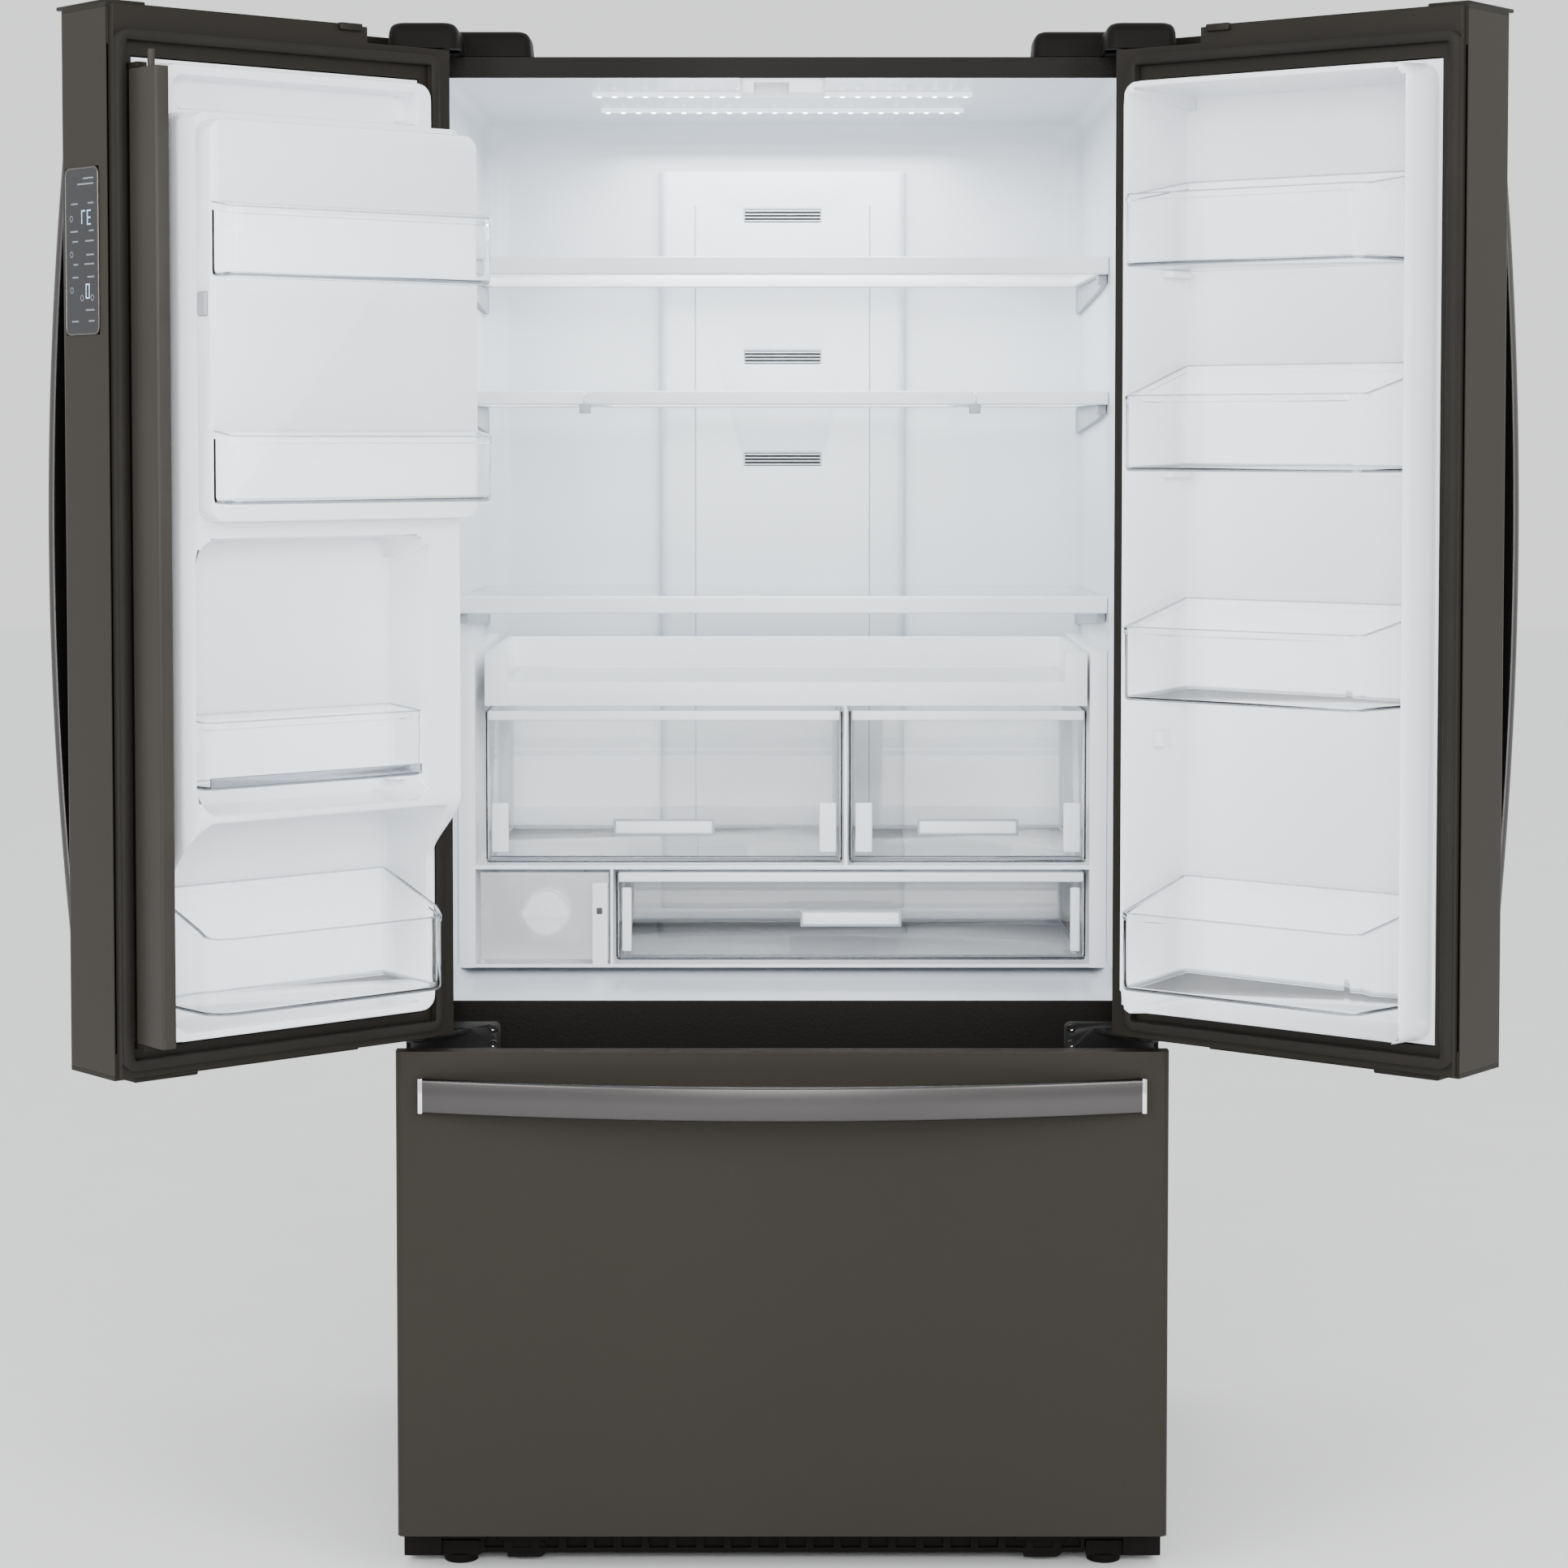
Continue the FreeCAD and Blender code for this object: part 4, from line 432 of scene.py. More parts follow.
# ---- making shapes
def lofted(rings, closed=False):
    """Joins rings with the same number of points, and closes the ends or the loop."""
    count = len(rings[0])
    points = [p for ring in rings for p in ring]
    faces = []
    spans = len(rings) if closed else len(rings) - 1
    for i in range(spans):
        a, b = i * count, ((i + 1) % len(rings)) * count
        for j in range(count):
            k = (j + 1) % count
            faces.append((a + j, a + k, b + k, b + j))
    if not closed:
        faces.append(tuple(range(count)))
        faces.append(tuple(range(len(points) - count, len(points))))
    return points, faces


def rounded_outline(x0, x1, y0, y1, radii, steps=5):
    """Outline with a radius at (x1,y0), (x1,y1), (x0,y1) and (x0,y0)."""
    outline = []
    corners = ((x1, y0, -1, 1, -90), (x1, y1, -1, -1, 0), (x0, y1, 1, -1, 90), (x0, y0, 1, 1, 180))
    for (cx, cy, sx, sy, start), radius in zip(corners, radii):
        for i in range(steps + 1):
            turn = math.radians(start + 90.0 * i / steps)
            outline.append((cx + sx * radius + radius * math.cos(turn), cy + sy * radius + radius * math.sin(turn)))
    return outline


def standing_ring(x0, x1, z0, z1, y, inset, radius, steps=5):
    """A rounded rectangle that stands at y, moved in all round by the inset."""
    outline = rounded_outline(x0 + inset, x1 - inset, z0 + inset, z1 - inset, [radius] * 4, steps)
    return [(x, y, z) for x, z in outline]


def eased(t):
    t = min(max(t, 0.0), 1.0)
    return t * t * (3 - 2 * t)


def tray(x0, x1, y0, y1, z0, front_top, back_top, radii, front_low=False, rim=1.2, close_in=(0, 0), rise=0.7):
    """An open bin with a rolled rim, and strips along its rim and bottom edge that carry a painted highlight. Its
    sides can rise towards the back and close in towards the front."""
    depth = y1 - y0

    def top(y):
        away = (y - y0) / depth if front_low else (y1 - y) / depth
        return front_top + (back_top - front_top) * eased((away - 0.08) / rise)

    def ring(inset, from_top, height):
        sizes = [max(r - inset, 0.5) for r in radii]
        outline = []
        for x, y in rounded_outline(x0 + inset, x1 - inset, y0 + inset, y1 - inset, sizes):
            across, forward = (x - x0) / (x1 - x0), (y - y0) / depth
            outline.append((x + forward * (close_in[0] * (1 - across) - close_in[1] * across), y))
        if from_top:
            return [(x, y, top(y) + height) for x, y in outline]
        return [(x, y, z0 + height) for x, y in outline]

    profile = [(7, 0, 0), (2.6, 0, 0.5), (0.7, 0, 2.2), (0, 0, 6), (0, 1, -9), (-rim, 1, -7.5), (-rim, 1, -1),
               (-rim * 0.4, 1, 0), (WALL * 0.75, 1, 0), (WALL, 1, -1), (WALL, 0, WALL + 5),
               (WALL + 1.2, 0, WALL + 1.5), (WALL + 5, 0, WALL)]
    # Thin strips along the rim and the bottom edge, in the whiter plastic: painted highlight.
    upper = [(-rim, 1, -1.4), (-rim * 0.4, 1, 0.1), (WALL * 0.75, 1, 0.1), (WALL, 1, -1.4)]
    lower = [(7, 0, -0.1), (2.6, 0, 0.4), (0.6, 0, 2.1), (1.6, 0, 3.4), (7, 0, 2.0)]
    body = lofted([ring(*entry) for entry in profile])
    return body, [lofted([ring(*entry) for entry in edge], closed=True) for edge in (upper, lower)]


def clear_bins(name, body, trays, place, stands_for):
    """Clear bins, with whiter strips on their rims and bottom edges as a painted highlight."""
    piece(name, body, CLEAR, [shell for shell, edges in trays], place, 35.0, stands_for)
    piece(name + "_edges", body, CLEAR_EDGE_HIGHLIGHT, [edge for shell, edges in trays for edge in edges], place)


def block(x0, x1, y0, y1, z0, z1, radius=1.0, steps=3):
    """A box with every edge rounded."""
    edit = bmesh.new()
    bmesh.ops.create_cube(edit, size=1.0)
    for v in edit.verts:
        x, y, z = v.co.x + 0.5, v.co.y + 0.5, v.co.z + 0.5
        v.co = Vector((x0 + x * (x1 - x0), y0 + y * (y1 - y0), z0 + z * (z1 - z0)))
    bmesh.ops.bevel(edit, geom=edit.edges[:], offset=radius, segments=steps, profile=0.5, affect="EDGES")
    edit.verts.index_update()
    shape = ([tuple(v.co) for v in edit.verts], [[v.index for v in f.verts] for f in edit.faces])
    edit.free()
    return shape


def drum(x, y, z, radius, depth, edge):
    """A disc or knob along y with a rounded rim."""
    sides = 48
    rings = []
    for r, d in ((radius - edge, 0), (radius - edge * 0.3, edge * 0.3), (radius, edge), (radius, depth - edge),
                 (radius - edge * 0.3, depth - edge * 0.3), (radius - edge, depth)):
        turns = [2 * math.pi * i / sides for i in range(sides)]
        rings.append([(x + r * math.cos(a), y + d, z + r * math.sin(a)) for a in turns])
    return lofted(rings)


def with_pocket(whole, pocket):
    """The first shape with the second cut out of it."""
    things = []
    for points, faces in (whole, pocket):
        mesh = bpy.data.meshes.new("rough")
        mesh.from_pydata(points, [], faces)
        things.append(new_object("rough", mesh))
    cut = things[0].modifiers.new("pocket", "BOOLEAN")
    cut.operation = "DIFFERENCE"
    cut.object = things[1]
    mesh = settled_mesh(things[0])
    bpy.data.objects.remove(things[1])
    return [tuple(v.co) for v in mesh.vertices], [list(face.vertices) for face in mesh.polygons]


def spaced(low, high, coarse, fine_spots, fine):
    """Grid lines from low to high, close together inside the fine spots."""
    lines = {low, high}
    steps = max(int((high - low) / coarse), 1)
    lines.update(low + (high - low) * i / steps for i in range(steps + 1))
    for a, b in fine_spots:
        a, b = max(a, low), min(b, high)
        count = max(int((b - a) / fine), 1)
        lines.update(a + (b - a) * i / count for i in range(count + 1))
    kept = []
    for line in sorted(lines):
        if not kept or line - kept[-1] > fine * 0.45:
            kept.append(line)
    kept[-1] = high
    return kept


def formed_sheet(us, zs, depth, thickness):
    """A vacuum-formed sheet: depth gives v over the grid, and the back follows it."""
    wide, tall = len(us), len(zs)
    front = [(u, depth(u, z), z) for z in zs for u in us]
    back = [(u, v - thickness, z) for u, v, z in front]
    base = len(front)
    faces = []
    for j in range(tall - 1):
        for i in range(wide - 1):
            a, b, c, d = j * wide + i, j * wide + i + 1, (j + 1) * wide + i + 1, (j + 1) * wide + i
            faces.append((a, b, c, d))
            faces.append((base + d, base + c, base + b, base + a))
    rim = list(range(wide)) + [j * wide + wide - 1 for j in range(1, tall)]
    rim += [(tall - 1) * wide + i for i in range(wide - 2, -1, -1)] + [j * wide for j in range(tall - 2, 0, -1)]
    for a, b in zip(rim, rim[1:] + rim[:1]):
        faces.append((a, b, base + b, base + a))
    return front + back, faces


def inside(u, z, area):
    """Distance inside a rounded rectangle (u0, u1, z0, z1, radius), negative outside it."""
    u0, u1, z0, z1, radius = area
    half_w, half_h = (u1 - u0) / 2 - radius, (z1 - z0) / 2 - radius
    dx = abs(u - (u0 + u1) / 2) - half_w
    dz = abs(z - (z0 + z1) / 2) - half_h
    return radius - math.hypot(max(dx, 0.0), max(dz, 0.0)) - min(max(dx, dz), 0.0)


def raised(u, z, area, ramp):
    """0 at the edge of the area, rising to 1 the ramp's width inside it."""
    return eased(inside(u, z, area) / ramp)


def hollowed(v, level, u, z, area, ramp):
    """v outside the area, going over to the level within the ramp's width of it."""
    return v + (level - v) * eased(1 + inside(u, z, area) / ramp)


# ---- things that repeat, grown by geometry nodes
ROW_INPUTS = (("Count", "Int", 4), ("Start", "Vector", (0, 0, 0)), ("Step", "Vector", (0.01, 0, 0)),
              ("Size", "Vector", (0.01, 0.01, 0.01)), ("Material", "Material", None))


def repeat_tree(name, round_part):
    """A row of studs or bars from a start point, one step apart."""
    tree = bpy.data.node_groups.new(name, "GeometryNodeTree")
    group_socket(tree, "Geometry", "Geometry", output=True)
    for label, kind, default in ROW_INPUTS:
        group_socket(tree, label, kind, default)
    into, out = tree.nodes.new("NodeGroupInput"), tree.nodes.new("NodeGroupOutput")
    line = tree.nodes.new("GeometryNodeMeshLine")
    if round_part:
        part = tree.nodes.new("GeometryNodeMeshUVSphere")
        part.inputs["Segments"].default_value = 12
        part.inputs["Rings"].default_value = 6
        part.inputs["Radius"].default_value = 0.5
    else:
        part = tree.nodes.new("GeometryNodeMeshCube")
    grow = tree.nodes.new("GeometryNodeInstanceOnPoints")
    real = tree.nodes.new("GeometryNodeRealizeInstances")
    dress = tree.nodes.new("GeometryNodeSetMaterial")
    for source, socket, target, entry in (
            (into, "Count", line, "Count"), (into, "Start", line, "Start Location"), (into, "Step", line, "Offset"),
            (line, "Mesh", grow, "Points"), (part, "Mesh", grow, "Instance"), (into, "Size", grow, "Scale"),
            (grow, "Instances", real, "Geometry"), (real, "Geometry", dress, "Geometry"),
            (into, "Material", dress, "Material"), (dress, "Geometry", out, "Geometry")):
        tree.links.new(source.outputs[socket], target.inputs[entry])
    return tree


STUDS = repeat_tree("row_of_studs", True)
BARS = repeat_tree("row_of_bars", False)


def grown(tree, material, count, start, step, size):
    """The mesh of one row. Start, step and size are in millimetres."""
    host = new_object("row", bpy.data.meshes.new("row"))
    modifier = host.modifiers.new("row", "NODES")
    modifier.node_group = tree
    values = {"Count": count, "Start": [c * MM for c in start], "Step": [c * MM for c in step],
              "Size": [c * MM for c in size], "Material": material}
    for item in tree.interface.items_tree:
        if item.in_out == "INPUT":
            modifier[item.identifier] = values[item.name]
    return settled_mesh(host)


def rows(name, body, tree, material, table, bevel=0.0):
    """One piece from several rows: each is (count, start, step, size)."""
    edit = bmesh.new()
    for row in table:
        mesh = grown(tree, material, *row)
        edit.from_mesh(mesh)
        bpy.data.meshes.remove(mesh)
    if bevel:
        bmesh.ops.bevel(edit, geom=edit.edges[:], offset=bevel * MM, segments=2, profile=0.5, affect="EDGES")
    joined = bpy.data.meshes.new(name)
    edit.to_mesh(joined)
    edit.free()
    shown(name, joined, body, material)


# ---- the room inside the refrigerator
def refrigerator_liner():
    """The room's walls, floor and ceiling in one formed piece."""
    _, x1, front, y1, z0, z1 = box_mm("fridge_liner")
    side, back, ceiling = x1 - WALL, y1 - WALL, z1 - WALL
    sill, floor = z0 + WALL, z0 + 9.0
    bend, bend_steps = 32, 8

    def ring(y, inset, radius, bottom):
        return standing_ring(-side, side, bottom, ceiling, y, inset, radius, 6)

    inner = [ring(front, 0, 2, sill), ring(front + 2, 0, 2, sill + 0.4), ring(front + 14, 0, 9, sill + 2.6),
             ring(front + 30, 0, 15, floor - 0.6), ring(front + 40, 0, 16, floor), ring(back - bend, 0, 16, floor)]
    for i in range(1, bend_steps + 1):
        a = math.radians(90.0 * i / bend_steps)
        inner.append(ring(back - bend + bend * math.sin(a), bend * (1 - math.cos(a)), 16 + 8 * math.sin(a), floor))
    outer = [ring(back + WALL - 0.2, -WALL + 0.2, 16, floor), ring(front, -WALL + 0.2, 2, sill)]
    piece("refrigerator_room", "cabinet", SHADED_ROOM_LINER, [lofted(outer + inner)], angle=50.0,
          stands_for=("fridge_liner",))


def wall_rails():
    """Moulded ledges and cantilever arms that carry the shelves."""
    _, x1, _, y1, _, _ = box_mm("fridge_liner")
    side, back = x1 - WALL, y1 - WALL
    front = box_mm("shelf_frames")[2]
    shapes = []
    for z in SHELF_UNDERSIDES:
        arm = ((front + 26, z - 0.3), (front + 30, z - 9), (front + 90, z - 17), (back - 30, z - 34),
               (back - 4, z - 34), (back - 4, z - 0.3))
        for ends in both_sides(side - 0.3, side - 6.5):
            shapes.append(lofted([[(x, y, height) for y, height in arm] for x in ends]))
    piece("shelf_arms", "cabinet", GREY_MOULD, shapes, angle=30.0)


def ceiling_details():
    """Two rows of light dots in the ceiling's lens."""
    _, _, y0, y1, z0, _ = box_mm("ceiling_lights")
    dot, level = (6.5, 5.0, 2.0), z0 - 0.2
    table = [(10, (x, y0 + 6.0, level), (19.0, 0, 0), dot) for x in (-226.0, 55.0)]
    table.append((24, (-225.4, y1 - 6.0, level), (19.6, 0, 0), dot))
    rows("light_row", "cabinet", STUDS, LAMPS, table)
    finish_node(LENS, "ceiling_lights")


def duct_details():
    """The air duct's cover with its vents, and grey lines as painted shade for its grooves."""
    softened("duct_panel", "air_duct_cover", "cabinet", SHADED_ROOM_LINER, 3.0, 3)
    face = box_mm("air_duct_cover")[2]
    slots = [block(-51, 51, face + 5.2, face + 5.9, z - 8.6, z + 8.6, 0.2, 1) for z in VENT_HEIGHTS]
    piece("vent_shadow", "cabinet", DARK_SLOT, slots)
    fins = [(4, (0, face + 3.0, z - 6.6), (0, 0, 4.4), (103.0, 4.6, 1.3)) for z in VENT_HEIGHTS]
    rows("vent_fins", "cabinet", BARS, WHITE, fins, bevel=0.3)
    # Grey lines on the face: painted shade for the grooves.
    grooves = [(2, (-118.0, face + 0.1, 1200.0), (236.0, 0, 0), (1.4, 1.4, 900.0))]
    rows("duct_groove_shade", "cabinet", BARS, GREY_MOULD, grooves)


def shelf_details():
    """Shelf frames, their glass, the front clips and the joints of the split shelf."""
    softened("shelf_frames_soft", "shelf_frames", "cabinet", WHITE, 1.6, 3)
    finish_node(GLASS, "shelf_glasses", "pullout_tray_glass")
    front = box_mm("shelf_frames")[2]
    clips = [block(x0, x1, front + 22, front + 46, z - 12, z - 0.4, 1.5)
             for z in SHELF_UNDERSIDES for x0, x1 in both_sides(392.0, 403.0)]
    piece("shelf_clips", "cabinet", GREY_MOULD, clips)
    joints = [block(x - 7, x + 7, front - 1.0, front + 15, 1366.0, 1376.6, 1.5) for x in (-244.5, 238.5)]
    piece("shelf_joints", "cabinet", GREY_MOULD, joints)


def crisper_details():
    """The three drawers' bins, bands, handles and white inserts."""
    softened("crisper_cabinet", "crisper_frame", "cabinet", WHITE, 1.4, 2)
    softened("pullout_tray_soft", "pullout_tray", "pullout_tray", WHITE, 1.6, 3)
    for name, foot, grip, insert_z, insert_wide, insert_radius in (
            ("left_crisper", 8.0, 38.0, (14, 76), 21, 2.2), ("right_crisper", 8.0, 38.0, (14, 76), 21, 2.2),
            ("deli_drawer", 6.0, 46.0, (12, 92), 12, 2.0)):
        x0, x1, y0, y1, z0, z1 = box_mm(name)
        shell = tray(x0, x1, y0 + 2, y1, z0, z1 - 1, z1 - 1, (8, 8, 8, 8), True, rim=0.4)
        clear_bins(name + "_bin", name, [shell], in_case, (name,))
        piece(name + "_band", name, WHITE, [block(x0 + 4, x1 - 4, y0, y0 + 9, z1 - 12, z1, 1.6)])
        piece(name + "_foot", name, SMOKY,
              [block(x0 + 5, x1 - 5, y0 + 0.6, y0 + 5, z0 + 1.5, z0 + 1.5 + foot, 1.2)])
        x, z = (x0 + x1) / 2, z0 + grip
        piece(name + "_handle", name, WHITE, [block(x - 60, x + 60, y0 - 2.2, y0 + 3, z, z + 15, 1.5)])
        piece(name + "_handle_frame", name, GREY_MOULD,
              [block(x - 63, x + 63, y0 - 0.6, y0 + 2.2, z - 3, z + 18, 1.2)])
        low, high = insert_z
        inserts = [block(x, x + insert_wide, y0 + 0.4, y0 + 4.6, z0 + low, z0 + high, insert_radius)
                   for x in (x0 + 8, x1 - 8 - insert_wide)]
        piece(name + "_inserts", name, WHITE, inserts)


def filter_details():
    """The filter's frosted door with its strip and latch, and the filter behind it."""
    softened("filter_door", "filter_cover", "filter_cover", FROSTED, 1.2, 3)
    _, x1, y, _, z0, _ = box_mm("filter_cover")
    piece("filter_latch", "filter_cover", DARK_SLOT,
          [block(x1 - 15, x1 - 8, y - 2.0, y + 1.5, z0 + 66, z0 + 74, 1.0)])
    piece("filter_strip", "filter_cover", WHITE,
          [block(x1 - 20.5, x1 - 1.5, y - 0.5, y + 0.6, z0 + 3, z0 + 105, 0.4, 1)])
    low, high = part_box("water_filter")
    x, front, z = (low.x + high.x) / 2 / MM, low.y / MM, (low.z + high.z) / 2 / MM
    piece("filter_body", "water_filter", WHITE,
          [drum(x, front + 4, z, 28, 20, 4), drum(x, front + 24, z, 30, 160, 2),
           drum(x, front + 180, z, 13.9, 25, 1), block(x - 30, x + 30, front, front + 8, z - 6, z + 6, 2.5)],
          stands_for=("water_filter",))


# ---- door linings, bins and seals; an area is u0, u1, z0, z1, radius
def right_lining_depth(u, z):
    """A raised border round one deep bay."""
    v = LINING_EDGE + 64.0 * raised(u, z, (50, 418, 672, 1743, 22), 4)
    return hollowed(v, -58.0, u, z, (64, 408, 678, 1729, 16), 4)


def left_lining_depth(u, z):
    """A border, the dispenser's swelling, the ice compartment's walls, and the bays in them."""
    v = LINING_EDGE + 38.0 * raised(u, z, (50, 411, 672, 1743, 22), 5)
    swelling = eased((z - 848.0) / 84.0) * eased((1262.0 - z) / 20.0)
    v += 61.0 * swelling * eased((u - 54.0) / 7.0) * eased((409.0 - u) / 7.0) * (v > 20)
    v = max(v, LINING_EDGE + 100.0 * raised(u, z, (54, 409, 1236, 1688, 16), 6))
    for level, area, ramp in ((-35.0, (72, 398, 690, 915, 22), 5), (28.0, (110, 398, 934, 1222, 22), 6),
                              (14.0, (76, 390, 1694, 1724, 10), 4), (3.0, (64, 398, 1254, 1666, 6), 3)):
        v = hollowed(v, level, u, z, area, ramp)
    return v


def door_linings():
    us = spaced(*LINING_U, 14, [(47.5, 67), (403, 422.5)], 0.8)
    zs = spaced(*LINING_Z, 16, [(669.5, 681), (1726, 1746.5)], 0.9)
    piece("right_door_lining", "right_door", LINER, [formed_sheet(us, zs, right_lining_depth, 2.0)],
          on_right, 60.0, ("right_door_liner",))
    us = spaced(*LINING_U, 14, [(47.5, 78), (102, 114), (388, 418)], 1.0)
    zs = spaced(*LINING_Z, 16, [(669.5, 694), (840, 942), (1220, 1262), (1660, 1746.5)], 1.3)
    piece("left_door_lining", "left_door", LINER, [formed_sheet(us, zs, left_lining_depth, 2.0)],
          on_left, 60.0, ("left_door_liner",))


def seal(name, body, place, x0, x1, z0, z1, stands_for):
    """A folded magnetic gasket run round a frame."""
    height = 11.5
    profile = [(0, 0), (0, 3), (1.6, 4.2), (0.6, 5.6), (0, 8), (0.4, height - 0.6), (1.2, height), (10.4, height),
               (11.4, height - 0.8), (11.8, 8), (10.4, 6.2), (11.6, 4.4), (12, 2.6), (12, 0)]
    rings = [standing_ring(x0, x1, z0, z1, v, inset, max(14.0 - inset, 1.5), 4) for inset, v in profile]
    piece(name, body, RUBBER, [lofted(rings, closed=True)], place, 50.0, (stands_for,))


def seals():
    for _, body, place in DOORS:
        seal(body + "_seal", body, place, 24, 447, 646, 1775.5, body + "_gasket")
    x0, x1, y0, _, z0, z1 = box_mm("freezer_gasket")

    def on_drawer(x, v, z):
        return in_case(x, y0 + v, z)

    seal("freezer_seal", "freezer_drawer", on_drawer, x0, x1, z0, z1, "freezer_gasket")


def lug_pair(u0, u1, wide, v0, v1, z0, z1, radius=1.5):
    """Two equal lugs between u0 and u1, one at each end."""
    return [block(u0, u0 + wide, v0, v1, z0, z1, radius), block(u1 - wide, u1, v0, v1, z0, z1, radius)]


def door_bins():
    """The fixed clear bins of both doors, and the lugs that hold them."""
    bins = [tray(66.5, 403.5, -56.5, 97.5, z0, z1, z2, (3, 16, 16, 3), close_in=(8, 26), rise=0.45)
            for z0, z1, z2 in RIGHT_BINS]
    clear_bins("right_bins", "right_door", bins, on_right, ("right_door_bins",))
    lugs = []
    for z, _, _ in RIGHT_BINS:
        lugs += [block(62, 76, -50, -9, z - 8, z - 0.3, 1.5), block(394, 410, -50, -9, z - 8, z - 0.3, 1.5)]
    lugs += lug_pair(61, 411, 13, -14, 8, 979, 998, 2.5)
    piece("right_bin_lugs", "right_door", WHITE, lugs, on_right)
    clear_bins("left_bins", "left_door",
               [tray(112.5, 395.5, 29, 99.6, MIDDLE_BIN, 1030, 1034, (3, 14, 14, 3)),
                tray(78.5, 391.5, -33.5, 101.6, LOWER_BIN, 795, 838, (3, 30, 30, 3), rise=0.5)],
               on_left, ("left_door_bins",))
    foot = block(116, 392, 97.5, 100.4, MIDDLE_BIN + 2, MIDDLE_BIN + 14, 1.2)
    piece("left_bin_foot", "left_door", SMOKY, [foot], on_left)
    lugs = []
    for u0, v, z in ((71, -34, LOWER_BIN), (109, 29, MIDDLE_BIN)):
        lugs += lug_pair(u0, 399, 14, v, v + 30, z - 8, z - 0.3)
    piece("left_bin_lugs", "left_door", WHITE, lugs, on_left)


def ice_compartment():
    """The ice compartment's door with its finger pocket, bins and latch."""
    rings = [standing_ring(56, 405, 1246, 1674, v, inset, 17 - inset, 6)
             for v, inset in ((98.6, 2.4), (99.3, 0.8), (101.0, 0), (124.0, 0), (126.2, 0.8), (127.0, 2.6))]
    shell = with_pocket(lofted(rings), block(395.6, 407, 104, 122, 1465, 1491, 1.5))
    piece("ice_door_shell", "ice_door", LINER, [shell], on_left, 35.0, ("ice_door",))
    bins = [tray(60.5, 403.5, 127.5, 167.6, z0, z1 - 6, z1, (2, 16, 16, 2)) for z0, z1 in ICE_BINS]
    clear_bins("ice_door_bins_clear", "ice_door", bins, on_left, ("ice_door_bins",))
    softened("ice_latch", "ice_door_latch", "ice_door_latch", GREY_MOULD, 1.0, 2)
    finish_node(CLEAR, "ice_bucket")


# ---- handles, panel, dispenser, hinges
def bowed_bar(half, bow):
    """Stations along x; y is the stand-off from the door face, negative outwards; z is the width."""
    section = rounded_outline(0, BAR_THICK, 0, BAR_WIDTH, [BAR_EDGE] * 4, 3)
    stations = 48
    rings = []
    for i in range(stations + 1):
        s = -half + 2 * half * i / stations
        lift = (bow - BAR_THICK) * (1 - (s / half) ** 2)
        slope = math.atan(-2 * (bow - BAR_THICK) * s / half ** 2)
        ring = []
        for n, w in section:
            crown = 0.8 * (1 - ((w - BAR_WIDTH / 2) / (BAR_WIDTH / 2)) ** 2) * (n > BAR_THICK * 0.6)
            ring.append((s - (n + crown) * math.sin(slope), -(lift + (n + crown) * math.cos(slope)), w))
        rings.append(ring)
    return lofted(rings)


def pull(name, body, place, half, bow, stands_for):
    """A bowed bar between two bright end blocks."""
    piece(name, body, HANDLE, [bowed_bar(half - 4.0, bow)], place, 40.0, (stands_for,))
    ends = [block(x0, x1, -13.0, 0, -0.6, BAR_WIDTH + 0.6, 1.2) for x0, x1 in both_sides(half - 5.5, half)]
    piece(name + "_ends", body, CHROME, ends, place)


def handles():
    low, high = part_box("freezer_handle")
    base, face = low.z / MM, high.y / MM

    def on_freezer(x, y, z):
        return in_case(x, face + y, base + z)

    pull("freezer_pull", "freezer_drawer", on_freezer, high.x / MM, (high.y - low.y) / MM, "freezer_handle")
    low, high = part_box("left_door_handle")
    middle = (high.z + low.z) / 2 / MM
    for side, body, on_door in DOORS:
        def upright(x, y, z, on_door=on_door):
            return on_door(HALF + FREE_X - 20.0 - z, FRONT_Y - TRIM_Y + y, middle + x)

        pull(side + "_pull", body, upright, (high.z - low.z) / 2 / MM, DOOR_BOW, body + "_handle")


SEGMENTS = {"3": "abcdg", "7": "abc", "0": "abcdef"}
SEGMENT_BARS = {"a": (0, 8, 14, 15.4), "b": (6.6, 8, 7.4, 14), "c": (6.6, 8, 0.6, 6.8), "d": (0, 8, -0.8, 0.6),
                "e": (0, 1.4, 0.6, 6.8), "f": (0, 1.4, 7.4, 14), "g": (0.8, 7.2, 6.4, 7.8)}
PRINTED_BARS = ((1617, (22,)), (1611, (34,)), (1590, (12, 14)), (1560, (10, 16)), (1549, (18, 12)), (1534, (16,)),
                (1524, (20, 10)), (1510, (14, 12)), (1474, (18,)), (1462, (12, 14)))
PRINTED_RINGS = ((58, 1575), (58, 1497), (14, 1488), (36, 1488), (58, 1536))
FIGURES = (("37", 16.0, 1568.0), ("0", 20.0, 1488.0))


